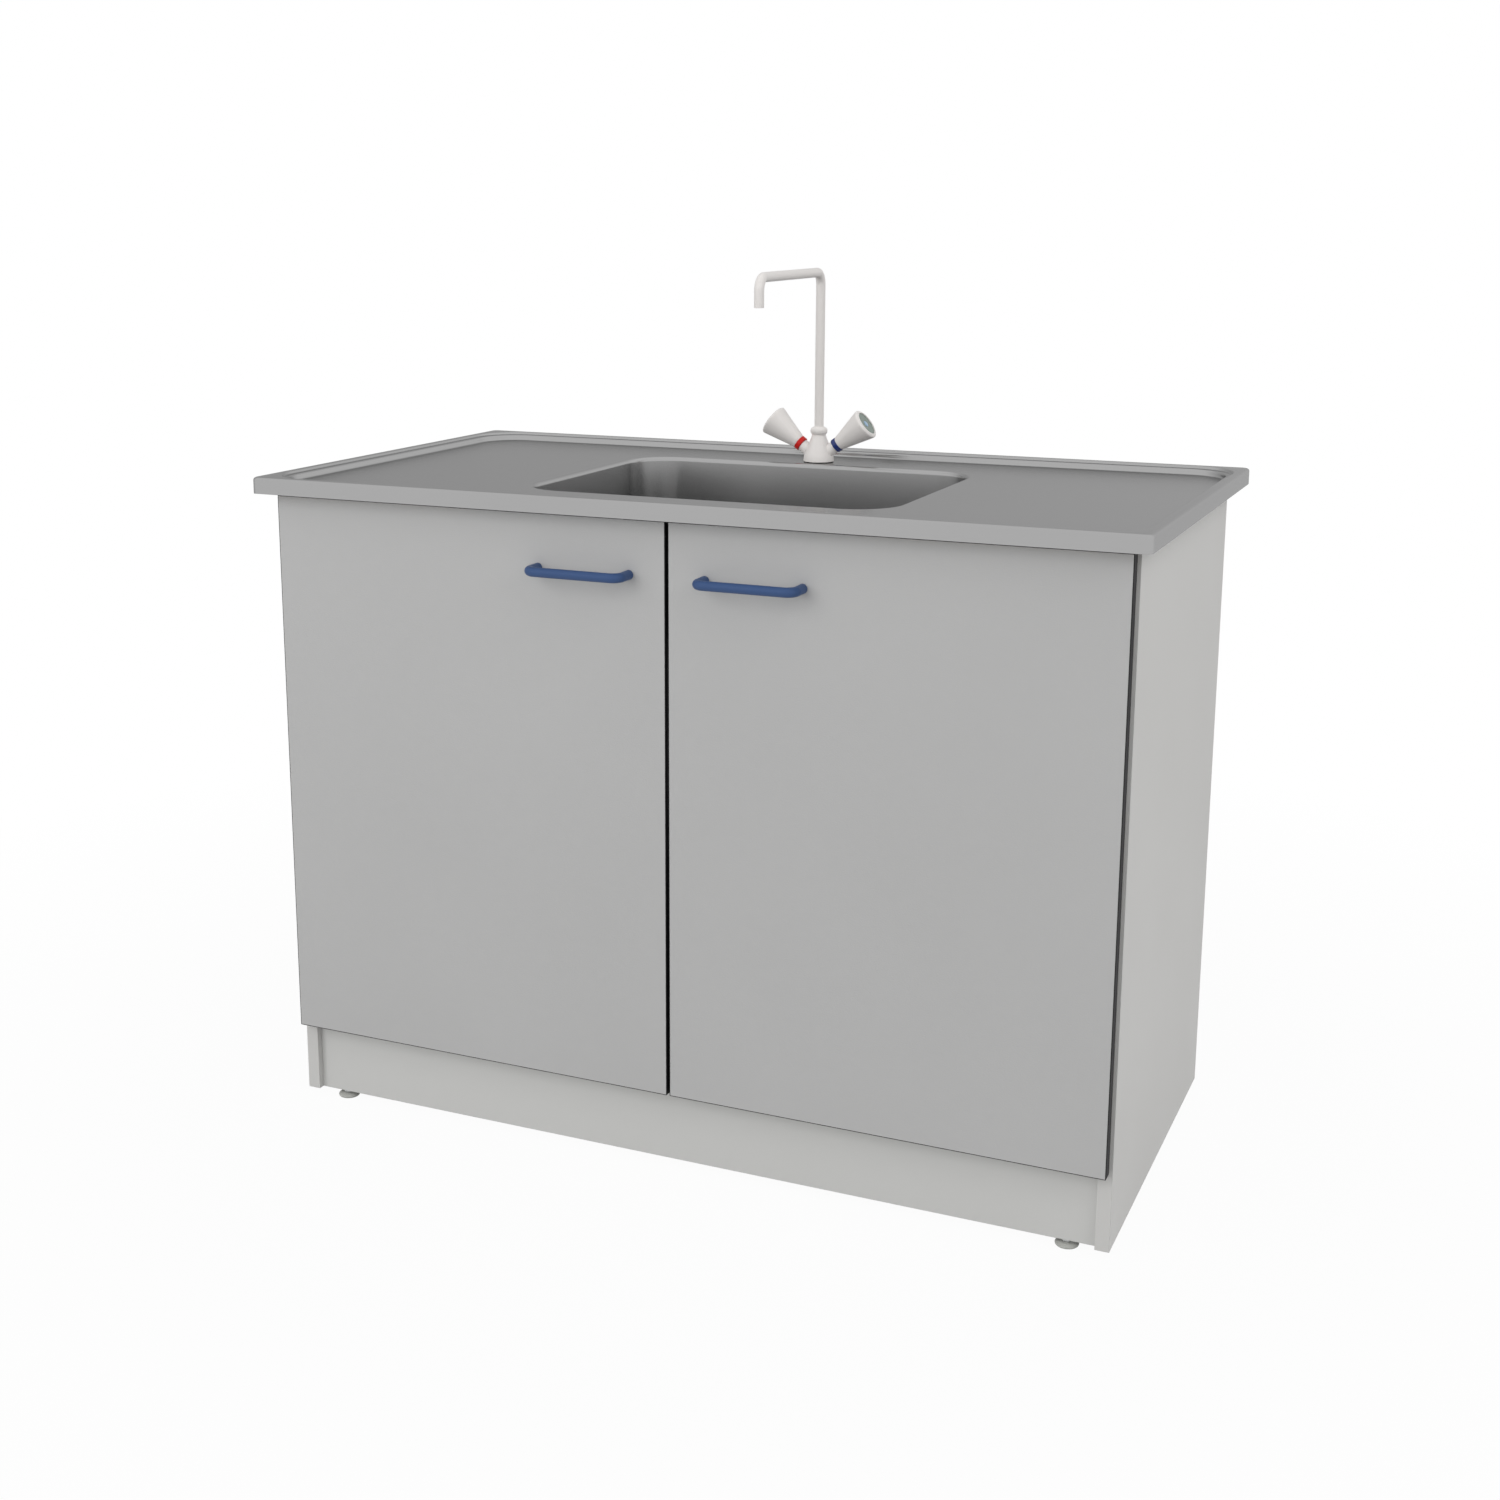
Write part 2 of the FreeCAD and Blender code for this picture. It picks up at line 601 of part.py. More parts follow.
def worktop_sheet():
    """The pressed stainless top: skirt, rim, drainboard and the lip of the bowl opening."""
    upper = [rim_loop(*row) for row in OUTER_RIM + INNER_RIM]
    upper += [bowl_loop(outset, DECK_Z - drop) for outset, drop in LIP]
    lower = [bowl_loop(outset + SHEET, DECK_Z - drop - (0 if drop == LIP_H else SHEET))
             for outset, drop in reversed(LIP)]
    lower += [rim_loop(*row) for row in reversed(underside(INNER_RIM))]
    lower.append(rim_loop(9.0, SHEET, 40.0))
    lower.append(rim_loop(4.4, SHEET, 7.8))
    lower.append(rim_loop(SHEET, 4.4, 6.8))
    lower.append(rim_loop(SHEET, TOP_H - SHEET, 6.8))
    lower.append(rim_loop(FLANGE_IN, TOP_H - SHEET, 6.8))
    lower.append(rim_loop(FLANGE_IN, TOP_H, 6.8))
    sheet = skinned(upper + lower, True)
    return sheet.cut(rod(V(TAP_X, TAP_Y, DECK_Z - 20), Z_AXIS, TAP_HOLE_R, 40))


def bowl_profile(outset, top_z, down):
    """Outlines down one face of the bowl; down is how far the floor lies lower."""
    loops = [bowl_loop(outset, top_z)]
    radius = BOWL_R - 2.0 + outset
    knee_z = BOWL_FLOOR_Z + BOWL_FILLET
    for step in range(FILLET_STEPS + 1):
        angle = math.radians(90.0 * step / FILLET_STEPS)
        inset = BOWL_TAPER - outset + BOWL_FILLET * (1 - math.cos(angle))
        z = knee_z - (BOWL_FILLET + down) * math.sin(angle)
        loops.append(rounded_loop(BOWL_X / 2 - inset, BOWL_Y / 2 - inset,
                                  radius - 20.0 * step / FILLET_STEPS, z, BOWL_MID))
    loops.append(rounded_loop(DRAIN_HALF, DRAIN_HALF, DRAIN_CORNER, DRAIN_Z - down, TOP_MID))
    return loops


def build_worktop():
    """Worktop, bowl, underlay boards and what holds the top to the cabinet."""
    keep("worktop", worktop_sheet())
    inner = bowl_profile(0.0, LIP_Z, 0.0)
    outer = bowl_profile(SHEET, LIP_Z, SHEET)
    solid_outer = skinned(outer, False)
    solid_inner = skinned(inner, False)
    bowl = solid_outer.cut(solid_inner)
    bowl = bowl.cut(rod(V(0, TOP_MID_Y, DRAIN_Z - 10), Z_AXIS, WASTE_R, 20))
    keep("sink_bowl", bowl)

    clear = FLANGE_IN + 4.0
    brackets, screws = [], []
    for y in (-150.0, 150.0):
        wall = box(INNER_W - 2, INNER_W, y - 12, y + 12, CARCASS_TOP - 24, CARCASS_TOP)
        shelf = box(INNER_W - 24, INNER_W, y - 12, y + 12, CARCASS_TOP - 2, CARCASS_TOP)
        into_side = rod(V(INNER_W - 2, y, CARCASS_TOP - 14), X_AXIS, 1.8, 14).fuse(
            rod(V(INNER_W - 2, y, CARCASS_TOP - 14), V(-1, 0, 0), 3.5, 1.8))
        into_top = rod(V(INNER_W - 14, y, CARCASS_TOP - 2), Z_AXIS, 1.8, 9).fuse(
            rod(V(INNER_W - 14, y, CARCASS_TOP - 2), V(0, 0, -1), 3.5, 1.8))
        brackets.append(wall.fuse(shelf).removeSplitter().cut(into_side).cut(into_top))
        screws += [into_side, into_top]
    boards = []
    for side in (-1, 1):
        inner_x = BOWL_X / 2 + side * BOWL_MID[0] + BOARD_CLEAR
        board = box(inner_x, TOP_W / 2 - clear, TOP_MID_Y - TOP_D / 2 + clear,
                    TOP_BACK_Y - clear, CARCASS_TOP, DECK_UNDER_Z)
        for screw in screws:
            board = board.cut(screw)
        boards.append(on_side(board, side))
    keep("underlay_boards", group(boards))
    keep("fixing_brackets", group([on_side(b, s) for s in (-1, 1) for b in brackets]))
    return screws


# ---------------------------------------------------------------- waste and bottle trap

def build_waste():
    """Grid waste in the bowl's floor and the bottle trap under it."""
    y, top = TOP_MID_Y, DRAIN_Z
    under = top - SHEET
    grid = turned([(3.2, top - 5), (20, top - 5), (24, top), (GRID_R, top), (GRID_R, top + 1.2),
                   (33, top + 1.8), (25, top + 1.8), (21, top - 3), (3.2, top - 3)], 0, y)
    for ring, count in GRID_RINGS:
        for i in range(count):
            a = math.radians(360.0 * i / count)
            grid = grid.cut(rod(V(ring * math.cos(a), y + ring * math.sin(a), top - 8),
                                Z_AXIS, GRID_HOLE_R, 10))
    keep("waste_grid", grid)
    keep("waste_seal", tube(V(0, y, under - SEAL_T), Z_AXIS, SEAL_R, WASTE_R, SEAL_T))
    body = turned([(TAIL_BORE, under - TAIL_L), (TAIL_R, under - TAIL_L), (TAIL_R, under - 20),
                   (36, under - 8), (36, under - SEAL_T), (WASTE_R, under - SEAL_T),
                   (TAIL_BORE, under - 24)], 0, y)
    bar = box(-18, 18, y - 4, y + 4, under - 32, under - 24)
    body = body.fuse(bar).removeSplitter()
    screw = rod(V(0, y, under - 30), Z_AXIS, 3.0, top - 3 - under + 30).fuse(
        turned([(0, top - 3), (6, top - 3), (6, top - 2), (3.5, top - 0.5), (0, top - 0.5)], 0, y))
    keep("waste_body", body.cut(screw))
    keep("waste_screw", screw)

    nut_top = under - NUT_DROP
    inlet_nut = turned([(TAIL_R, nut_top - 22), (27, nut_top - 22), (27, nut_top - 4),
                        (24, nut_top), (TAIL_R, nut_top)], 0, y)
    for i in range(NUT_FLUTES):
        a = math.radians(360.0 * i / NUT_FLUTES)
        inlet_nut = inlet_nut.cut(rod(V(27.5 * math.cos(a), y + 27.5 * math.sin(a),
                                        nut_top - 18), Z_AXIS, 1.5, 13))
    neck_z = under - TAIL_L
    z_out = TRAP_OUTLET_Z
    inner_r = TRAP_R - TRAP_WALL
    body = turned([(TAIL_BORE, z_out - 62), (DIP_R, z_out - 62), (DIP_R, z_out + 22),
                   (inner_r, z_out + 22), (inner_r, z_out - 30), (TRAP_R, z_out - 30),
                   (TRAP_R, z_out + 25), (TAIL_R, z_out + 25), (TAIL_R, neck_z),
                   (TAIL_BORE, neck_z)], 0, y)
    elbow = rod(V(0, y + TRAP_R - 4, z_out), Y_AXIS, DIP_R, 30)
    core = rod(V(0, y + DIP_R + 0.1, z_out), Y_AXIS, TAIL_BORE, 40)
    body = body.fuse(elbow).removeSplitter().cut(core)
    keep("trap_body", body)
    cup = turned([(0, z_out - 90), (TRAP_CUP_R - 6, z_out - 90), (TRAP_CUP_R, z_out - 84),
                  (TRAP_CUP_R, z_out - 20), (TRAP_R, z_out - 20), (TRAP_R, z_out - 30),
                  (inner_r, z_out - 30), (inner_r, z_out - 82), (0, z_out - 86)], 0, y)
    keep("trap_cup", cup)
    face = y + TRAP_R + 26
    outlet_nut = tube(V(0, face - 18, z_out), Y_AXIS, OUTLET_NUT_R, DIP_R, 18).fuse(
        tube(V(0, face, z_out), Y_AXIS, OUTLET_NUT_R, SPIGOT_R, 8))
    keep("trap_nuts", group([inlet_nut, outlet_nut.removeSplitter()]))
    pipe = rod(V(0, face, z_out), Y_AXIS, SPIGOT_R, SPIGOT_L).fuse(
        rod(V(0, face + SPIGOT_L, z_out), Y_AXIS, OUTLET_R, OUTLET_L))
    pipe = pipe.cut(rod(V(0, face, z_out), Y_AXIS, OUTLET_BORE, SPIGOT_L + OUTLET_L))
    keep("trap_outlet_pipe", pipe)


# ---------------------------------------------------------------- mixer tap

def tilted(shape, side):
    """Put a piece that was modelled along Z onto a handle's axis."""
    shape = shape.copy()
    turn = FreeCAD.Rotation(Y_AXIS, side * (90.0 - HANDLE_TILT))
    shape.Placement = FreeCAD.Placement(V(TAP_X, TAP_Y, AXES_Z), turn).multiply(shape.Placement)
    return shape


def build_tap():
    """Body, valves, handles and swivelling spout of the two-handle mixer."""
    deck = DECK_Z
    seat = deck + GASKET_T
    keep("tap_gasket", tube(V(TAP_X, TAP_Y, deck), Z_AXIS, TAP_BASE_R - 1.0, SHANK_R, GASKET_T))
    bell = turned([(0, seat), (TAP_BASE_R, seat), (TAP_BASE_R, seat + 2.5), (21.7, seat + 7.5),
                   (20.3, seat + 12.5), (18.0, seat + 18), (15.6, seat + 24), (13.4, seat + 29),
                   (11.8, seat + 33), (10.2, BODY_TOP_Z), (0, BODY_TOP_Z)], TAP_X, TAP_Y)
    stub = rod(V(0, 0, 2), Z_AXIS, STUB_R, STUB_END - 2)
    body = bell
    for side in (-1, 1):
        body = body.fuse(tilted(stub, side))
    low = box(TAP_X - 60, TAP_X + 60, TAP_Y - 30, TAP_Y + 30, seat - 40, seat)
    body = body.cut(low)
    body = body.fuse(rod(V(TAP_X, TAP_Y, SHANK_LOW_Z), Z_AXIS, SHANK_R, seat - SHANK_LOW_Z))
    body = body.cut(rod(V(TAP_X, TAP_Y, SOCKET_FLOOR_Z), Z_AXIS, PIPE_R + RUNNING, 40))
    for side in (-1, 1):
        bore = rod(V(0, 0, STUB_END - VALVE_L), Z_AXIS, VALVE_R, VALVE_L + 4)
        body = body.cut(tilted(bore, side))
        port = rod(V(TAP_X + side * INLET_OFFSET, TAP_Y, SHANK_LOW_Z), Z_AXIS, INLET_R, INLET_DEPTH)
        body = body.cut(port)
    keep("tap_body", body.removeSplitter())

    bead = turned([(PIPE_R + RUNNING, BODY_TOP_Z), (9.8, BODY_TOP_Z), (10.6, COLLAR_Z - 4.0),
                   (12.2, COLLAR_Z - 1.8), (12.4, COLLAR_Z), (12.2, COLLAR_Z + 1.8),
                   (10.6, COLLAR_Z + 4.0), (8.4, COLLAR_Z + 5.0),
                   (PIPE_R + RUNNING, COLLAR_Z + 5.4)], TAP_X, TAP_Y)
    keep("spout_collar", bead)
    washer_top = DECK_UNDER_Z
    keep("tap_washer", tube(V(TAP_X, TAP_Y, washer_top - 3), Z_AXIS, WASHER_R, SHANK_R, 3.0))
    nut = hex_bar(V(TAP_X, TAP_Y, 0), NUT_AF, washer_top - 13, washer_top - 3)
    keep("tap_nut", nut.cut(rod(V(TAP_X, TAP_Y, washer_top - 20), Z_AXIS, SHANK_R, 30)))

    names = {-1: "hot", 1: "cold"}
    for side, name in names.items():
        valve = tube(V(0, 0, STUB_END - VALVE_L), Z_AXIS, VALVE_R, SPINDLE_R + RUNNING, VALVE_L)
        keep("valve_" + name, tilted(valve, side))
        spindle = rod(V(0, 0, STUB_END - 14), Z_AXIS, SPINDLE_R, 38)
        keep("spindle_" + name, tilted(spindle, side))
        ring = tube(V(0, 0, RING_SPAN[0]), Z_AXIS, RING_R, SPINDLE_R, RING_SPAN[1] - RING_SPAN[0])
        keep("index_ring_" + name, tilted(ring, side))
        a, b = HANDLE_SPAN
        cone = turned([(0, a), (10.0, a), (RING_R, a + 1.5), (HANDLE_R - 0.6, b - 6.5),
                       (HANDLE_R, b - 4.0), (HANDLE_R - 0.8, b - 1.6), (HANDLE_R - 2.6, b - 0.3),
                       (HANDLE_R - 4.5, b), (CAP_R, b - 0.6), (CAP_R, b - 3.0), (0, b - 3.0)])
        cone = cone.cut(rod(V(0, 0, 0), Z_AXIS, SPINDLE_R, STUB_END + 24))
        keep("handle_" + name, tilted(cone, side))
        cap = rod(V(0, 0, b - 3.0), Z_AXIS, CAP_R, 1.6)
        dot = rod(V(0, 0, b - 1.4), Z_AXIS, DOT_R, 0.6)
        keep("handle_cap_" + name, group([tilted(cap, side), tilted(dot, side)]))

    turn = math.radians(SPOUT_TURN)
    ahead = V(math.sin(turn), -math.cos(turn), 0)

    def at(reach, z):
        return V(TAP_X, TAP_Y, z) + ahead * reach
    low, arm, tip, bend = SOCKET_FLOOR_Z + 0.5, SPOUT_ARM_Z, SPOUT_TIP_Z, SPOUT_BEND
    d = bend * (1 - math.sqrt(0.5))
    far = SPOUT_REACH
    path = Part.Wire([
        Part.LineSegment(at(0, low), at(0, arm - bend)).toShape(),
        Part.Arc(at(0, arm - bend), at(d, arm - d), at(bend, arm)).toShape(),
        Part.LineSegment(at(bend, arm), at(far - bend, arm)).toShape(),
        Part.Arc(at(far - bend, arm), at(far - d, arm - d), at(far, arm - bend)).toShape(),
        Part.LineSegment(at(far, arm - bend), at(far, tip)).toShape()])

    def swept(radius):
        section = Part.Wire(Part.makeCircle(radius, at(0, low), Z_AXIS))
        return path.makePipeShell([section], True, False)
    pipe = swept(PIPE_R).cut(swept(PIPE_BORE))
    keep("spout_pipe", pipe)
    keep("spout_insert", tube(at(far, tip + 1.0), Z_AXIS, PIPE_BORE, 3.6, 8.0))


build_carcass()
build_feet()
hinge_screws = build_doors()
bracket_screws = build_worktop()
build_waste()
build_tap()

carcass_screws = []
for side_name, sign in SIDES.items():
    fixings = [on_side(screw, sign) for screw in hinge_screws + bracket_screws]
    nails = back_nails(sign)
    drill("side_panel_" + side_name, fixings + nails)
    drill("back_panel", nails)
    carcass_screws += fixings + nails
keep("carcass_screws", group(carcass_screws))

for node, solid in made.items():
    write(node, solid)
total = group(made.values()).BoundBox
print("nodes", len(made), "box", [round(v, 2) for v in (total.XMin, total.XMax, total.YMin,
                                                       total.YMax, total.ZMin, total.ZMax)])
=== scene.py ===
"""Looks of a laboratory sink unit: steel worktop with bowl, two-door cabinet, mixer tap.

Metres, +Z up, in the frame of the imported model. Every new piece is built round the box of
the node that it stands for.
"""

import json
import logging
import math
from dataclasses import dataclass
from enum import Enum

import bmesh
import bpy
from mathutils import Matrix, Vector


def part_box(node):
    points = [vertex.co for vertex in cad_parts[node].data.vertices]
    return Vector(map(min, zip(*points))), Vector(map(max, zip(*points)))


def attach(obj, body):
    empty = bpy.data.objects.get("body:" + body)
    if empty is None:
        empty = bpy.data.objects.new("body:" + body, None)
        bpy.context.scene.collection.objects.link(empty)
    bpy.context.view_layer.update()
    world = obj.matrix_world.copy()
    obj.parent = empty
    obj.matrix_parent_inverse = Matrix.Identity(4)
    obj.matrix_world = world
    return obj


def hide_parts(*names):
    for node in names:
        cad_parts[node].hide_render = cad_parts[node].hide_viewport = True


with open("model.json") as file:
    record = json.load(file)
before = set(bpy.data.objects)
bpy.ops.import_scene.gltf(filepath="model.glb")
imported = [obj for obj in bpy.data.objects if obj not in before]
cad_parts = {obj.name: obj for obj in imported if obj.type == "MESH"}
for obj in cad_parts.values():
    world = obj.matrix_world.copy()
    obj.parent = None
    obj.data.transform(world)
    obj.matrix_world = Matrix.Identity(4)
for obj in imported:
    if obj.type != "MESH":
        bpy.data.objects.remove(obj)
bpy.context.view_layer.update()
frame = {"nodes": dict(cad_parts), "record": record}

log = logging.getLogger("sink_unit")
MM = 0.001
SIDES = ("left", "right")
ROWS = ("front", "rear")
VALVES = {"hot": -1.0, "cold": 1.0}
Colour = tuple[float, float, float]
Row = tuple[float, float, float]
Point = tuple[float, float, float]
Socket = bpy.types.NodeSocket


# ---------------------------------------------------------------- finishes
class Grain(Enum):
    """How the fine relief of a finish runs."""

    PEEL = "peel"
    BRUSHED = "brushed"
    FINE = "fine"
    WOOD = "wood"


class NodeTree:
    """Adds and links the nodes of one tree."""

    def __init__(self, tree: bpy.types.NodeTree) -> None:
        """Start with an empty tree.

        Args:
            tree: The node tree of a material or of the world.
        """
        self.tree = tree
        self.tree.nodes.clear()

    def add(self, kind: str, **values: object) -> bpy.types.Node:
        """Make a node and set its properties.

        Args:
            kind: The node's type name.
            **values: Properties of the node by name.

        Returns:
            The new node.
        """
        node = self.tree.nodes.new(kind)
        for key, value in values.items():
            setattr(node, key, value)
        return node

    def link(self, source: Socket, target: Socket) -> None:
        """Join two sockets."""
        self.tree.links.new(source, target)

    def spread(self, value: Socket, low: float, high: float,
               start: float = 0.3, end: float = 0.7) -> Socket:
        """Map a value evenly onto a range.

        Args:
            value: The value.
            low: Result at start.
            high: Result at end.
            start: Value that gives low.
            end: Value that gives high.

        Returns:
            The mapped value.
        """
        node = self.add("ShaderNodeMapRange")
        node.inputs["From Min"].default_value = start
        node.inputs["From Max"].default_value = end
        node.inputs["To Min"].default_value = low
        node.inputs["To Max"].default_value = high
        self.link(value, node.inputs["Value"])
        return node.outputs["Result"]

    def maths(self, operation: str, one: Socket, other: Socket) -> Socket:
        """Work out one value from two.

        Args:
            operation: Name of the operation.
            one: First value.
            other: Second value.

        Returns:
            The result.
        """
        node = self.add("ShaderNodeMath", operation=operation)
        self.link(one, node.inputs[0])
        self.link(other, node.inputs[1])
        return node.outputs[0]

    def mixed(self, factor: Socket, off: bpy.types.Node, on: bpy.types.Node) -> bpy.types.Node:
        """Mix two shaders.

        Args:
            factor: 0 gives off, 1 gives on.
            off: First shader.
            on: Second shader.

        Returns:
            The mixing node.
        """
        node = self.add("ShaderNodeMixShader")
        self.link(factor, node.inputs[0])
        self.link(off.outputs[0], node.inputs[1])
        self.link(on.outputs[0], node.inputs[2])
        return node


class NodeBench(NodeTree):
    """The node tree of a new material."""

    def __init__(self, name: str) -> None:
        """Make the material.

        Args:
            name: The material's name.
        """
        self.material = bpy.data.materials.new(name)
        self.material.use_nodes = True
        super().__init__(self.material.node_tree)
        self.place = self.add("ShaderNodeTexCoord").outputs["Object"]

    def noise(self, scale: float, detail: float = 2.0, stretch: Point = (1.0, 1.0, 1.0)
              ) -> Socket:
        """Noise on object coordinates.

        Args:
            scale: Cells to the metre.
            detail: Octaves.
            stretch: Scale of each axis before the noise is read.

        Returns:
            The noise's factor, from 0 to 1.
        """
        mapping = self.add("ShaderNodeMapping")
        mapping.inputs["Scale"].default_value = stretch
        self.link(self.place, mapping.inputs["Vector"])
        texture = self.add("ShaderNodeTexNoise")
        texture.inputs["Scale"].default_value = scale
        texture.inputs["Detail"].default_value = detail
        self.link(mapping.outputs["Vector"], texture.inputs["Vector"])
        return texture.outputs["Fac"]

    def blend(self, factor: Socket, one: Colour, other: Colour) -> Socket:
        """Mix two colours.

        Args:
            factor: 0 gives one, 1 gives other.
            one: First colour, linear.
            other: Second colour, linear.

        Returns:
            The mixed colour.
        """
        node = self.add("ShaderNodeMix", data_type="RGBA")
        node.inputs[6].default_value = (*one, 1.0)
        node.inputs[7].default_value = (*other, 1.0)
        self.link(factor, node.inputs[0])
        return node.outputs[2]


GRAIN_SHARE = 0.5
PATCH_SHARE = 0.5
WORN_TONE = 1.35
WORN_CELLS = 220.0
# Agreement of the rounded with the true normal where the wear is full, and where it ends.
WORN_SPAN = (0.80, 0.99)


@dataclass(frozen=True)
class Finish:
    """One surface finish: colour, sheen, relief and how much each varies.

    Attributes:
        name: The material's name.
        colour: Base colour, linear.
        roughness: Middle of the roughness.
        metallic: 1 for bare metal.
        grain: How the fine relief runs.
        grain_size: Cells of the fine relief to the metre.
        bump: Strength of the fine relief.
        variation: Share by which the colour swings.
        patch_size: Cells of the broad patches to the metre.
        edge_radius: Radius by which the normals round off an arris.
        wear: How far the arrises are rubbed light.
        coat: Weight of a clear coat.
        specular: Strength of the mirror reflection of a surface that isn't metal.
        edge_tint: Grey of the reflection at a flat angle.
        gloss_swing: How far the roughness swings to each side.
    """

    name: str
    colour: Colour
    roughness: float
    metallic: float = 0.0
    grain: Grain = Grain.FINE
    grain_size: float = 900.0
    bump: float = 0.05
    variation: float = 0.06
    patch_size: float = 5.0
    edge_radius: float = 0.0004
    wear: float = 0.0
    coat: float = 0.0
    specular: float = 0.5
    edge_tint: float = 1.0
    gloss_swing: float = 0.04

    def tone(self, factor: float) -> Colour:
        """The finish's colour, lighter or darker by a factor."""
        return tuple(min(1.0, c * factor) for c in self.colour)

    def stretch(self) -> Point:
        """How the grain is drawn out along an axis."""
        runs = {Grain.BRUSHED: (0.012, 1.0, 1.0), Grain.WOOD: (0.06, 1.0, 1.0)}
        return runs.get(self.grain, (1.0, 1.0, 1.0))

    def build(self) -> bpy.types.Material:
        """Make the material.

        Returns:
            The node material.
        """
        bench = NodeBench(self.name)
        shader = bench.add("ShaderNodeBsdfPrincipled")
        shader.inputs["Metallic"].default_value = self.metallic
        shader.inputs["Coat Weight"].default_value = self.coat
        shader.inputs["Specular IOR Level"].default_value = self.specular
        shader.inputs["Specular Tint"].default_value = (*[self.edge_tint] * 3, 1.0)
        patches = bench.noise(self.patch_size, 3.0)
        grain = bench.noise(self.grain_size, 2.0, self.stretch())
        mottle = bench.add("ShaderNodeMath", operation="MULTIPLY_ADD")
        bench.link(grain, mottle.inputs[0])
        mottle.inputs[1].default_value = GRAIN_SHARE
        bench.link(bench.spread(patches, 0.0, PATCH_SHARE), mottle.inputs[2])
        low, high = self.tone(1.0 - self.variation), self.tone(1.0 + self.variation)
        colour = bench.blend(bench.spread(mottle.outputs[0], 0.0, 1.0, 0.2, 0.8), low, high)
        bevel = bench.add("ShaderNodeBevel", samples=4)
        bevel.inputs["Radius"].default_value = self.edge_radius
        if self.wear > 0.0:
            colour = self.worn(bench, colour, bevel)
        bench.link(colour, shader.inputs["Base Color"])
        rough = bench.spread(mottle.outputs[0], self.roughness - self.gloss_swing,
                             self.roughness + self.gloss_swing)
        bench.link(rough, shader.inputs["Roughness"])
        relief = bench.add("ShaderNodeBump")
        relief.inputs["Strength"].default_value = self.bump
        relief.inputs["Distance"].default_value = MM
        bench.link(grain, relief.inputs["Height"])
        bench.link(bevel.outputs["Normal"], relief.inputs["Normal"])
        bench.link(relief.outputs["Normal"], shader.inputs["Normal"])
        output = bench.add("ShaderNodeOutputMaterial")
        bench.link(shader.outputs["BSDF"], output.inputs["Surface"])
        return bench.material

    def worn(self, bench: NodeBench, colour: Socket, bevel: bpy.types.Node) -> Socket:
        """Lighten the arrises where the coat is rubbed thin.

        Args:
            bench: The material's nodes.
            colour: The colour so far.
            bevel: The node that rounds the normals.

        Returns:
            The colour with its edges worn.
        """
        shape = bench.add("ShaderNodeNewGeometry")
        dot = bench.add("ShaderNodeVectorMath", operation="DOT_PRODUCT")
        bench.link(shape.outputs["Normal"], dot.inputs[0])
        bench.link(bevel.outputs["Normal"], dot.inputs[1])
        edge = bench.spread(dot.outputs["Value"], self.wear, 0.0, *WORN_SPAN)
        broken = bench.add("ShaderNodeMath", operation="MULTIPLY")
        bench.link(edge, broken.inputs[0])
        bench.link(bench.spread(bench.noise(WORN_CELLS), 0.2, 1.0), broken.inputs[1])
        node = bench.add("ShaderNodeMix", data_type="RGBA")
        bench.link(broken.outputs[0], node.inputs[0])
        bench.link(colour, node.inputs[6])
        node.inputs[7].default_value = (*self.tone(WORN_TONE), 1.0)
        return node.outputs[2]


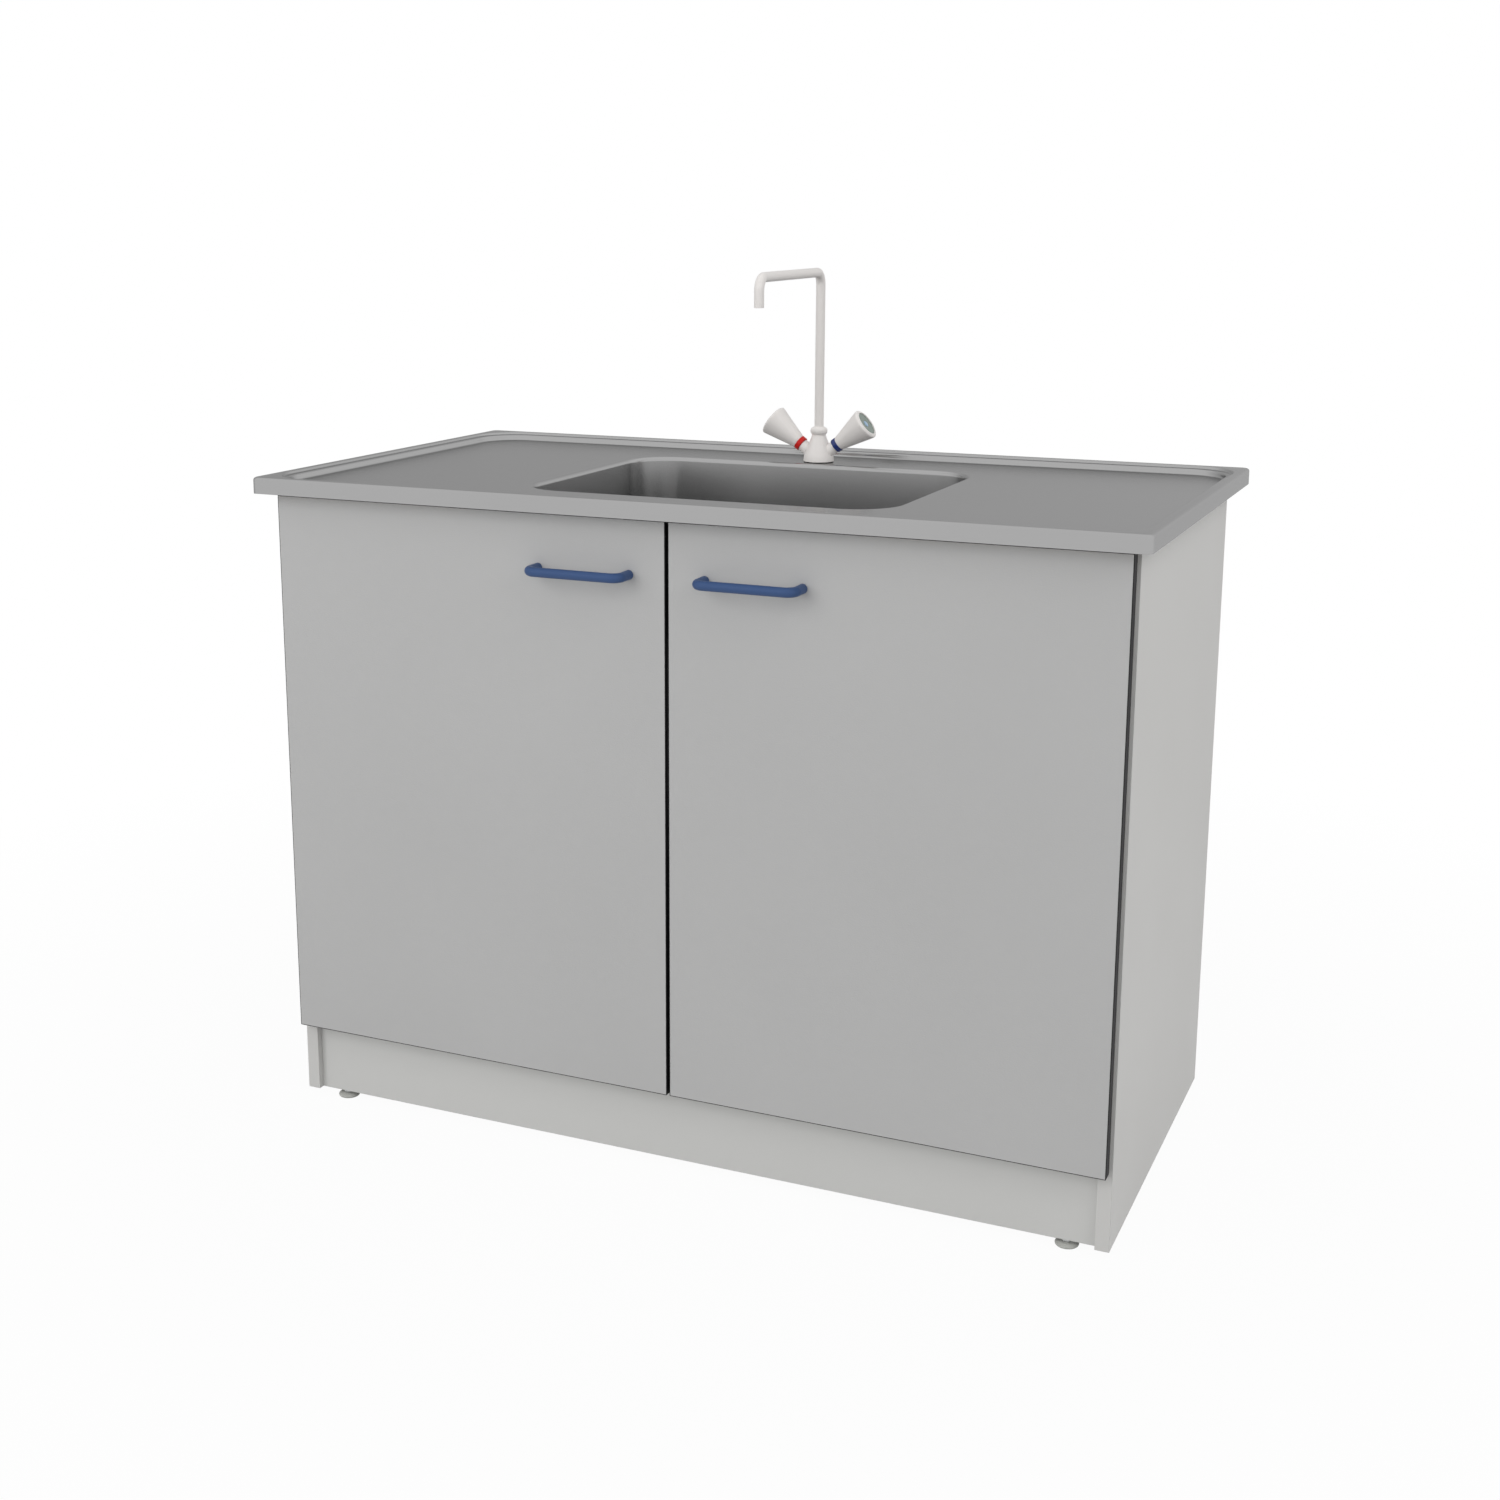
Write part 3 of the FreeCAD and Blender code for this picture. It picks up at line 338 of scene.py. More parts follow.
FINISHES = {
    "white_board": Finish("side_laminate", (0.62, 0.615, 0.60), 0.50, grain=Grain.PEEL,
                          grain_size=1400.0, bump=0.05, variation=0.012, edge_radius=0.0008),
    "plinth_board": Finish("plinth_laminate", (0.63, 0.63, 0.615), 0.50, grain=Grain.PEEL,
                           grain_size=1400.0, bump=0.05, variation=0.012, edge_radius=0.0008),
    "door_laminate": Finish("door_laminate", (0.484, 0.484, 0.482), 0.52, grain=Grain.PEEL,
                            grain_size=620.0, bump=0.22, variation=0.022, patch_size=3.0),
    "black_edging": Finish("black_edging", (0.010, 0.010, 0.011), 0.55, bump=0.03,
                           variation=0.10, specular=0.18),
    "hardboard": Finish("hardboard", (0.66, 0.65, 0.62), 0.45, grain_size=700.0, bump=0.08,
                        variation=0.03),
    "plywood": Finish("plywood", (0.52, 0.38, 0.23), 0.62, grain=Grain.WOOD, grain_size=260.0,
                      bump=0.20, variation=0.20),
    "stainless": Finish("satin_stainless", (0.41, 0.41, 0.41), 0.24, metallic=1.0,
                        grain_size=1800.0, bump=0.003, variation=0.018, patch_size=4.0,
                        edge_radius=0.0, edge_tint=0.75, gloss_swing=0.010),
    "polished_stainless": Finish("polished_stainless", (0.62, 0.62, 0.62), 0.18, metallic=1.0,
                                 grain_size=1200.0, bump=0.03, variation=0.04),
    "white_epoxy": Finish("white_epoxy", (0.84, 0.808, 0.785), 0.42, grain=Grain.PEEL,
                          grain_size=800.0, bump=0.025, variation=0.015, coat=0.10, wear=0.15),
    "blue_paint": Finish("blue_powder_coat", (0.036, 0.080, 0.202), 0.45, grain=Grain.PEEL,
                         grain_size=1500.0, bump=0.06, variation=0.05, specular=0.35,
                         wear=0.35),
    "red_ring": Finish("red_index", (0.60, 0.018, 0.015), 0.40, variation=0.05, specular=0.25),
    "blue_ring": Finish("blue_index", (0.008, 0.026, 0.160), 0.30, variation=0.05, coat=0.2),
    "cap_plastic": Finish("index_cap", (0.12, 0.175, 0.14), 0.25, variation=0.06, coat=0.4),
    "cap_centre": Finish("index_centre", (0.30, 0.47, 0.66), 0.25, variation=0.05, coat=0.4),
    "cap_centre_hot": Finish("index_centre_hot", (0.60, 0.16, 0.12), 0.25, variation=0.05,
                             coat=0.4),
    "brass": Finish("machined_brass", (0.72, 0.55, 0.27), 0.30, metallic=1.0,
                    grain=Grain.BRUSHED, grain_size=1600.0),
    "zinc_casting": Finish("zinc_casting", (0.50, 0.50, 0.51), 0.48, metallic=1.0,
                           grain=Grain.PEEL, bump=0.20, variation=0.10),
    "zinc_plated_steel": Finish("bright_zinc", (0.60, 0.61, 0.62), 0.34, metallic=1.0,
                                grain_size=1100.0, bump=0.06, variation=0.08),
    "nickel_plated_steel": Finish("nickel_plate", (0.62, 0.60, 0.56), 0.24, metallic=1.0,
                                  bump=0.03, wear=0.2),
    "black_rubber": Finish("black_rubber", (0.020, 0.020, 0.021), 0.75, bump=0.15,
                           variation=0.15),
    "white_plastic": Finish("white_polypropylene", (0.76, 0.76, 0.74), 0.42, grain=Grain.PEEL,
                            grain_size=700.0, bump=0.08, variation=0.03),
    "grey_plastic": Finish("grey_polyamide", (0.46, 0.465, 0.44), 0.50, grain=Grain.PEEL,
                           grain_size=900.0, bump=0.10, variation=0.06),
    "clear_pad": Finish("clear_pad", (0.72, 0.72, 0.70), 0.22, bump=0.02, variation=0.04),
}


class Palette:
    """Makes each finish once and puts it on pieces and on carried-over nodes."""

    def __init__(self) -> None:
        """Build every material."""
        self.materials = {name: finish.build() for name, finish in FINISHES.items()}
        self.slots = {part["node"]: part["material_slot"]
                      for part in frame["record"]["subparts"]}

    def paint(self, piece: bpy.types.Object, slot: str) -> None:
        """Give a new piece its finish.

        Args:
            piece: The new object.
            slot: The record's slot, also the finish's key.
        """
        piece.data.materials.append(self.materials[slot])

    def dress_nodes(self) -> None:
        """Put the finishes on the CAD nodes that stay in sight."""
        for name, node in frame["nodes"].items():
            if node.hide_render:
                continue
            node.data.materials.clear()
            node.data.materials.append(self.materials[self.slots[name]])
            for face in node.data.polygons:
                face.material_index = 0
            log.info("dressed node %s as %s", name, self.slots[name])


# ---------------------------------------------------------------- mesh helpers
SAME_POINT = 1e-6
FILLET_STEPS = 5
CORNER_STEPS = 14
# Corner radius of a round outline, as a share of its half side.
NEARLY_ROUND = 0.985


def finished(name: str, bm: bmesh.types.BMesh, smooth_below: float = 35.0,
             outward: bool = True) -> bpy.types.Object:
    """Turn a bmesh into an object at the origin.

    Args:
        name: The piece's name.
        bm: The mesh, which is freed.
        smooth_below: Edges flatter than this many degrees are shaded smooth.
        outward: Recalculate the normals.

    Returns:
        The new object.
    """
    bmesh.ops.remove_doubles(bm, verts=bm.verts, dist=SAME_POINT)
    if outward:
        bmesh.ops.recalc_face_normals(bm, faces=bm.faces)
    mesh = bpy.data.meshes.new(name)
    bm.to_mesh(mesh)
    bm.free()
    mesh.shade_smooth()
    mesh.set_sharp_from_angle(angle=math.radians(smooth_below))
    piece = bpy.data.objects.new(name, mesh)
    bpy.context.scene.collection.objects.link(piece)
    return piece


def delivered(piece: bpy.types.Object, body: str, *nodes: str) -> None:
    """Fix a piece to its body, hide the nodes that it stands for and report it.

    Args:
        piece: The new object.
        body: The CAD body that it moves with.
        *nodes: CAD nodes that it replaces, if any.
    """
    if nodes:
        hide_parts(*nodes)
    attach(piece, body)
    log.info("built %s for %s on %s, %d faces", piece.name, ", ".join(nodes) or "no node", body,
             len(piece.data.polygons))


@dataclass(frozen=True)
class Outline:
    """A level rectangle with round corners."""

    half_x: float
    half_y: float
    radius: float
    z: float
    middle: tuple[float, float] = (0.0, 0.0)

    def corner(self, x: float, y: float) -> Vector:
        """Centre of one corner's arc.

        Args:
            x: Positive for a corner on the right, negative for one on the left.
            y: Positive for a rear corner, negative for a front one.

        Returns:
            The centre, at the outline's height.
        """
        mid_x, mid_y = self.middle
        return Vector((mid_x + math.copysign(self.half_x - self.radius, x),
                       mid_y + math.copysign(self.half_y - self.radius, y), self.z))

    def moved(self, was: "Outline", point: Vector) -> Vector:
        """Where a point of another outline comes to on this one.

        Args:
            was: The outline that the point is on now.
            point: The point.

        Returns:
            The place on this outline at the same turn of the same corner.
        """
        x, y = point.x - was.middle[0], point.y - was.middle[1]
        arm = point - was.corner(x, y)
        arm.z = 0.0
        return self.corner(x, y) + arm.normalized() * self.radius


def quarter_turn(steps: int) -> list[float]:
    """Angles from 0 to a right angle, in equal steps."""
    return [math.radians(90.0 * step / steps) for step in range(steps + 1)]


def outline_shell(sections: list[Outline]) -> bmesh.types.BMesh:
    """A skin drawn from one outline to the next and back to the first, by extruding edges.

    Args:
        sections: Outlines in order.

    Returns:
        The mesh, centred on the Z axis.
    """
    bm = bmesh.new()
    first = sections[0]
    bmesh.ops.create_circle(bm, cap_ends=False, radius=1.0, segments=4 * (CORNER_STEPS + 1))
    ring = sorted(bm.verts, key=lambda v: math.atan2(v.co.y, v.co.x) % math.tau)
    per_corner = CORNER_STEPS + 1
    for i, vert in enumerate(ring):
        quarter, step = divmod(i, per_corner)
        turn = math.radians(90.0 * quarter + 90.0 * step / CORNER_STEPS)
        ray = Vector((math.cos(turn), math.sin(turn), 0.0))
        middle = math.radians(90.0 * quarter + 45.0)
        centre = first.corner(math.cos(middle), math.sin(middle))
        vert.co = centre + ray * first.radius
    edges = list(bm.edges)
    was = first
    for section in sections[1:] + sections[:1]:
        made = bmesh.ops.extrude_edge_only(bm, edges=edges)["geom"]
        edges = [g for g in made if isinstance(g, bmesh.types.BMEdge)]
        for vert in (g for g in made if isinstance(g, bmesh.types.BMVert)):
            vert.co = section.moved(was, vert.co)
        was = section
    return bm


def turned(profile: list[Row], segments: int = 64, closed: bool = False) -> bmesh.types.BMesh:
    """A body turned about Z.

    Args:
        profile: (radius, z, fillet) of each corner; a radius of 0 lies on the axis.
        segments: Facets round the axis.
        closed: The profile is a ring round a hollow.

    Returns:
        The turned mesh.
    """
    bm = bmesh.new()
    verts = [bm.verts.new((r, 0.0, z)) for r, z, _ in profile]
    pairs = list(zip(verts, verts[1:]))
    if closed:
        pairs.append((verts[-1], verts[0]))
    for one, other in pairs:
        bm.edges.new((one, other))
    for vert, (_, _, fillet) in zip(verts, profile):
        if fillet > 0.0:
            bmesh.ops.bevel(bm, geom=[vert], offset=fillet, segments=FILLET_STEPS,
                            profile=0.5, affect="VERTICES", material=-1)
    bmesh.ops.spin(bm, geom=bm.verts[:] + bm.edges[:], cent=(0, 0, 0), axis=(0, 0, 1),
                   angle=math.tau, steps=segments, use_merge=True)
    bmesh.ops.remove_doubles(bm, verts=bm.verts, dist=SAME_POINT)
    return bm


class PipeRun:
    """A round tube drawn along straight runs and bends."""

    def __init__(self, start: Vector, heading: Vector, radius: float, segments: int = 32) -> None:
        """Set the first ring.

        Args:
            start: Centre of the tube's first end.
            heading: Unit vector along which it sets off.
            radius: The tube's outer radius.
            segments: Facets round it.
        """
        self.bm = bmesh.new()
        turn = heading.to_track_quat("Z", "Y").to_matrix().to_4x4()
        made = bmesh.ops.create_circle(self.bm, cap_ends=False, radius=radius, segments=segments,
                                       matrix=Matrix.Translation(start) @ turn)
        self.first = sorted({e for v in made["verts"] for e in v.link_edges},
                            key=lambda e: e.index)
        self.end = list(self.first)
        self.at = start.copy()
        self.heading = heading.copy()

    def next_ring(self) -> list[bmesh.types.BMVert]:
        """Extrude the end, without moving it yet.

        Returns:
            The new ring's vertices.
        """
        made = bmesh.ops.extrude_edge_only(self.bm, edges=self.end)["geom"]
        self.end = [g for g in made if isinstance(g, bmesh.types.BMEdge)]
        return [g for g in made if isinstance(g, bmesh.types.BMVert)]

    def straight(self, length: float) -> None:
        """Go straight on for a length."""
        bmesh.ops.translate(self.bm, verts=self.next_ring(), vec=self.heading * length)
        self.at += self.heading * length

    def bend(self, towards: Vector, radius: float, steps: int = 12) -> None:
        """Turn by a right angle.

        Args:
            towards: Unit vector of the new heading.
            radius: Radius of the centre line.
            steps: Rings round the bend.
        """
        axis = self.heading.cross(towards).normalized()
        centre = self.at + towards * radius
        made = bmesh.ops.spin(self.bm, geom=self.end, cent=centre, axis=axis,
                              angle=math.pi / 2, steps=steps)["geom_last"]
        self.end = [g for g in made if isinstance(g, bmesh.types.BMEdge)]
        self.at = centre + self.heading * radius
        self.heading = towards.copy()

    def resize_end(self, factor: float) -> None:
        """Draw a new ring in the same plane, scaled about the centre line."""
        for vert in self.next_ring():
            vert.co = self.at + (vert.co - self.at) * factor

    def cap(self) -> None:
        """Close both open ends."""
        bmesh.ops.contextual_create(self.bm, geom=self.first)
        bmesh.ops.contextual_create(self.bm, geom=self.end)


# ---------------------------------------------------------------- worktop
@dataclass
class SteelTop:
    """The pressed worktop and its welded bowl, in one skin of sheet steel.

    A row of the rim's section is its inset from the edge, its drop from the top and the radius
    of its corners in plan.
    """

    palette: Palette
    sheet: float = 1.2 * MM
    corner: float = 8.0 * MM
    rim_corner: float = 8.2 * MM
    hem: float = 0.6 * MM
    skirt_fillet: float = 4.0 * MM
    flange: float = 15.0 * MM
    fold_inset: float = 4.4 * MM
    fold_corner: float = 6.8 * MM
    bowl_half_x: float = 256.0 * MM
    bowl_half_y: float = 197.5 * MM
    bowl_middle: tuple[float, float] = (-10.0 * MM, 3.0 * MM)
    bowl_radius: float = 60.0 * MM
    bowl_taper: float = 4.0 * MM
    corner_draw: float = 2.0 * MM
    corner_loss: float = 20.0 * MM
    knee: float = 30.0 * MM
    recess: float = 12.0 * MM
    lip: float = 6.0 * MM
    lip_run_in: float = 2.0 * MM
    floor_half: tuple[float, float] = (190.0 * MM, 140.0 * MM)
    floor_radius: float = 45.0 * MM
    floor_fall: float = 0.15 * MM
    drain_dip: float = 3.0 * MM
    dish_radii: tuple[float, ...] = (62.0 * MM, 56.0 * MM, 30.0 * MM)
    waste_radius: float = 26.0 * MM

    def __post_init__(self) -> None:
        """Read the outer sizes from the frame."""
        low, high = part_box("worktop")
        bowl_low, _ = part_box("sink_bowl")
        self.half = (high - low) / 2
        self.middle_y = (low.y + high.y) / 2
        self.top = high.z
        self.skirt = high.z - low.z
        self.floor = bowl_low.z + self.sheet + self.drain_dip

    def rim_rows(self) -> list[Row]:
        """Section of the rim from the skirt inwards.

        Returns:
            Rows of skirt, fillet, groove, bead and the slope down to the recess.
        """
        rows = [(0.0, self.skirt, self.corner), (0.0, self.skirt - self.hem, self.corner)]
        fillet = self.skirt_fillet
        rows += [(fillet * (1 - math.cos(turn)), fillet * (1 - math.sin(turn)), self.rim_corner)
                 for turn in quarter_turn(6)]
        groove = [(9.0, 0.0, 62.0), (10.4, 0.06, 62.0), (11.1, 0.35, 62.0), (11.6, 0.8, 62.0),
                  (12.1, 1.6, 61.8), (12.6, 2.5, 61.5), (13.2, 3.05, 61.2), (14.2, 3.4, 61.0)]
        bead = [(16.0, 3.6, 60.0), (18.0, 3.8, 59.4), (19.2, 4.1, 59.0), (20.1, 4.7, 58.4)]
        slope = [(20.7, 5.6, 58.0), (21.1, 7.0, 57.4), (21.4, 8.7, 57.0), (21.9, 10.1, 56.6),
                 (23.0, 11.1, 56.0), (24.8, 11.7, 55.4), (28.0, 11.97, 54.0), (31.0, 12.0, 53.0)]
        rows += [(inset * MM, drop * MM, radius * MM)
                 for inset, drop, radius in groove + bead + slope]
        return rows

    def rim(self, row: Row) -> Outline:
        """One outline of the rim."""
        inset, drop, radius = row
        return Outline(self.half.x - inset, self.half.y - inset, radius, self.top - drop)

    def underside(self, rows: list[Row]) -> list[Row]:
        """Move rows of the section square off the upper face by the sheet's thickness.

        Args:
            rows: Inset, drop and radius, from the rim inwards.

        Returns:
            The same rows on the sheet's lower face.
        """
        level = 10.0 * MM
        first, last = rows[0], rows[-1]
        before = [(first[0] - level, first[1], 0.0)] + rows[:-1]
        after = rows[1:] + [(last[0] + level, last[1], 0.0)]
        moved = []
        for (inset, drop, radius), was, then in zip(rows, before, after):
            run, fall = then[0] - was[0], then[1] - was[1]
            length = math.hypot(run, fall)
            moved.append((inset - self.sheet * fall / length,
                          drop + self.sheet * run / length, radius))
        return moved

    def mouth(self, out: float, drop: float) -> Outline:
        """The bowl's mouth, grown by out, below the drainboard by drop."""
        return Outline(self.bowl_half_x + out, self.bowl_half_y + out, self.bowl_radius + out,
                       self.top - self.recess - drop, self.bowl_middle)

    def lip_rows(self) -> list[tuple[float, float]]:
        """The rounded lip from the drainboard down: growth of the mouth and drop."""
        return [(self.lip * (1 - math.sin(turn)), self.lip * (1 - math.cos(turn)))
                for turn in quarter_turn(6)]

    def bowl_walls(self, out: float) -> list[Outline]:
        """The bowl from below its lip down to the waste.

        Args:
            out: 0 for the inner face, the sheet's thickness for the outer one.

        Returns:
            The outlines, from the top down.
        """
        rows = []
        steps = 12
        for step, turn in enumerate(quarter_turn(steps)):
            inset = self.bowl_taper - out + self.knee * (1 - math.cos(turn))
            z = self.floor + self.knee - (self.knee + out) * math.sin(turn)
            radius = self.bowl_radius - self.corner_draw + out - self.corner_loss * step / steps
            rows.append(Outline(self.bowl_half_x - inset, self.bowl_half_y - inset, radius, z,
                                self.bowl_middle))
        rows.append(Outline(*self.floor_half, self.floor_radius,
                            self.floor - self.floor_fall - out, self.bowl_middle))
        for half in (*self.dish_radii, self.waste_radius):
            rows.append(Outline(half, half, half * NEARLY_ROUND,
                                self.floor - self.drain_dip - out))
        return rows

    def upper_face(self) -> list[Outline]:
        """The face in sight.

        Returns:
            Outlines from the skirt's lower edge over the rim and the lip down to the waste.
        """
        faces = [self.rim(row) for row in self.rim_rows()]
        faces.append(self.mouth(self.lip + self.lip_run_in, 0.0))
        faces += [self.mouth(out, drop) for out, drop in self.lip_rows()]
        return faces + self.bowl_walls(0.0)

    def lower_face(self) -> list[Outline]:
        """The face below.

        Returns:
            Outlines from the waste back up under the lip and the rim to the skirt's fold.
        """
        faces = list(reversed(self.bowl_walls(self.sheet)))
        for out, drop in reversed(self.lip_rows()):
            under = 0.0 if drop >= self.lip else self.sheet
            faces.append(self.mouth(out + self.sheet, drop + under))
        pressed = [row for row in self.rim_rows() if row[0] >= 10.0 * MM]
        faces += [self.rim(row) for row in reversed(self.underside(pressed))]
        t = self.sheet
        fold = [(self.fold_inset, t), (t, self.fold_inset), (t, self.skirt - t),
                (self.flange, self.skirt - t), (self.flange, self.skirt)]
        faces += [self.rim((inset, drop, self.fold_corner)) for inset, drop in fold]
        return faces

    def build(self) -> None:
        """Make the sheet and fit it to the carcass."""
        bm = outline_shell(self.upper_face() + self.lower_face())
        bmesh.ops.translate(bm, verts=bm.verts, vec=(0.0, self.middle_y, 0.0))
        piece = finished("steel_top_with_bowl", bm, 50.0)
        self.palette.paint(piece, "stainless")
        delivered(piece, "carcass", "worktop", "sink_bowl")


# ---------------------------------------------------------------- doors
@dataclass
class BowHandle:
    """A bow handle of round bar, with its two feet on the door."""

    palette: Palette
    side: str
    bar_radius: float = 6.2 * MM
    bend_radius: float = 12.0 * MM
    foot: float = 0.4 * MM

    def build(self) -> None:
        """Draw the bar from foot to foot."""
        node = "door_handle_" + self.side
        low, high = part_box(node)
        r = self.bar_radius
        leg = high.y - low.y - r - self.bend_radius
        grip = high.x - low.x - 2 * r - 2 * self.bend_radius
        out, along = Vector((0, -1, 0)), Vector((1, 0, 0))
        run = PipeRun(Vector((low.x + r, high.y, (low.z + high.z) / 2)), out, r)
        run.resize_end(1.0)
        run.straight(self.foot)
        run.straight(leg - self.foot)
        run.bend(along, self.bend_radius)
        run.straight(grip)
        run.bend(-out, self.bend_radius)
        run.straight(leg)
        run.cap()
        piece = finished("bow_handle_" + self.side, run.bm)
        self.palette.paint(piece, "blue_paint")
        delivered(piece, "door_" + self.side, node)


@dataclass
class EdgeBand:
    """The black banding round one door, with softened arrises."""

    palette: Palette
    side: str
    thickness: float = 1.0 * MM
    arris: float = 0.25 * MM
    corner: float = 0.9 * MM
    least_corner: float = 0.05 * MM

    def build(self) -> None:
        """Make the band as a flat ring standing in the door's plane."""
        node = "door_edging_" + self.side
        low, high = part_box(node)
        half_x, half_z = (high.x - low.x) / 2, (high.z - low.z) / 2
        depth, a, t = high.y - low.y, self.arris, self.thickness
        bulge = 0.3 * a
        rows = [(t, 0.0), (a, 0.0), (bulge, bulge), (0.0, a), (0.0, depth - a),
                (bulge, depth - bulge), (a, depth), (t, depth)]
        sections = [Outline(half_x - x, half_z - x, max(self.corner - x, self.least_corner), z)
                    for x, z in rows]
        bm = outline_shell(sections)
        turn = Matrix.Rotation(math.radians(90.0), 4, "X")
        place = Matrix.Translation(((low.x + high.x) / 2, high.y, (low.z + high.z) / 2))
        bmesh.ops.transform(bm, matrix=place @ turn, verts=bm.verts)
        piece = finished("edge_band_" + self.side, bm)
        self.palette.paint(piece, "black_edging")
        delivered(piece, "door_" + self.side, node)


# ---------------------------------------------------------------- tap
@dataclass
class TapHandle:
    """One conical handle, with its index ring, its cap and the stub that carries it.

    Turned parts are given as corners of radius, height and fillet. Heights run along the
    handle's axis from the point where the two handles' axes meet.

    Attributes:
        palette: The finishes.
        name: hot or cold.
        sign: -1 for the left handle, 1 for the right.
        meet: Where the axes meet.
    """

    palette: Palette
    name: str
    sign: float
    meet: Vector
    tilt: float = math.radians(36.5)
    stub_radius: float = 9.0 * MM
    stub_start: float = 4.0 * MM
    stub_end: float = 31.7 * MM
    spindle_bore: float = 3.2 * MM
    spindle_bore_depth: float = 3.0 * MM
    ring_bore: float = 6.0 * MM
    ring_radius: float = 10.6 * MM
    ring_start: float = 32.0 * MM
    foot_radius: float = 10.0 * MM
    cone_radius: float = 23.0 * MM
    cone_start: float = 38.8 * MM
    cone_end: float = 92.0 * MM
    cap_radius: float = 17.5 * MM
    cap_pocket: float = 3.0 * MM
    cap_sink: float = 1.4 * MM
    lens_radius: float = 5.0 * MM
    side_play: float = 0.05 * MM
    end_play: float = 0.02 * MM

    def inclined(self, bm: bmesh.types.BMesh) -> bmesh.types.BMesh:
        """Move a body turned about Z onto the handle's axis.

        Args:
            bm: The turned body.

        Returns:
            The same mesh.
        """
        lean = Matrix.Rotation(self.sign * (math.pi / 2 - self.tilt), 4, "Y")
        bmesh.ops.transform(bm, matrix=Matrix.Translation(self.meet) @ lean, verts=bm.verts)
        return bm

    def build_stub(self) -> None:
        """The side stub of the body in which the valve's spindle turns."""
        r, bore = self.stub_radius, self.spindle_bore
        start, end = self.stub_start, self.stub_end
        pocket = end - self.spindle_bore_depth
        stub = turned([(0.0, start, 0.0), (r, start, 0.0), (r, end, 0.6 * MM), (bore, end, 0.0),
                       (bore, pocket, 0.0), (0.0, pocket, 0.0)], 48)
        piece = finished("tap_stub_" + self.name, self.inclined(stub))
        self.palette.paint(piece, "white_epoxy")
        delivered(piece, "carcass")

    def build_cone(self) -> None:
        """The conical grip with the pocket for its cap."""
        start, end, wide = self.cone_start, self.cone_end, self.cone_radius
        foot, cap, pocket = self.foot_radius, self.cap_radius, end - self.cap_pocket
        cone = turned([(0.0, start, 0.0), (foot, start, 0.4 * MM),
                       (foot + 0.6 * MM, start + 1.8 * MM, 0.6 * MM),
                       (wide - 0.3 * MM, end - 5.2 * MM, 1.8 * MM),
                       (wide, end - 2.6 * MM, 1.2 * MM), (wide - 3.2 * MM, end, 1.8 * MM),
                       (cap + 0.3 * MM, end - 0.3 * MM, 0.5 * MM),
                       (cap, pocket, 0.0), (0.0, pocket, 0.0)], 72)
        piece = finished("cone_handle_" + self.name, self.inclined(cone), 30.0)
        self.palette.paint(piece, "white_epoxy")
        delivered(piece, self.name + "_handle", "handle_" + self.name)

    def build_ring(self) -> None:
        """The coloured index ring below the cone."""
        bore, r, arris = self.ring_bore, self.ring_radius, 0.35 * MM
        low, high = self.ring_start, self.cone_start - self.end_play
        ring = turned([(bore, low, 0.0), (r, low, arris), (r, high, arris), (bore, high, 0.0)],
                      56, closed=True)
        piece = finished("index_band_" + self.name, self.inclined(ring), 30.0)
        self.palette.paint(piece, {"hot": "red_ring", "cold": "blue_ring"}[self.name])
        delivered(piece, self.name + "_handle", "index_ring_" + self.name)

    def build_cap(self) -> None:
        """The end cap and the lens at its centre."""
        body = self.name + "_handle"
        lens_r, rim = self.lens_radius, self.cap_radius - self.side_play
        disc = self.cone_end - self.cap_sink
        seat = self.cone_end - self.cap_pocket + self.end_play
        cap = turned([(0.0, seat, 0.0), (rim, seat, 0.0), (rim, disc, 0.3 * MM),
                      (lens_r + 1.2 * MM, disc - 0.2 * MM, 0.4 * MM),
                      (lens_r + 0.2 * MM, disc - 0.6 * MM, 0.0), (0.0, disc - 0.6 * MM, 0.0)], 64)
        piece = finished("end_cap_" + self.name, self.inclined(cap), 30.0)
        self.palette.paint(piece, "cap_plastic")
        delivered(piece, body, "handle_cap_" + self.name)
        foot = disc - 0.58 * MM
        lens = turned([(0.0, foot, 0.0), (lens_r, foot, 0.2 * MM),
                       (lens_r * 0.8, disc + 0.35 * MM, 0.5 * MM),
                       (0.0, disc + 0.6 * MM, 0.0)], 48)
        piece = finished("cap_centre_" + self.name, self.inclined(lens), 30.0)
        finish = {"hot": "cap_centre_hot", "cold": "cap_centre"}[self.name]
        piece.data.materials.append(self.palette.materials[finish])
        delivered(piece, body)


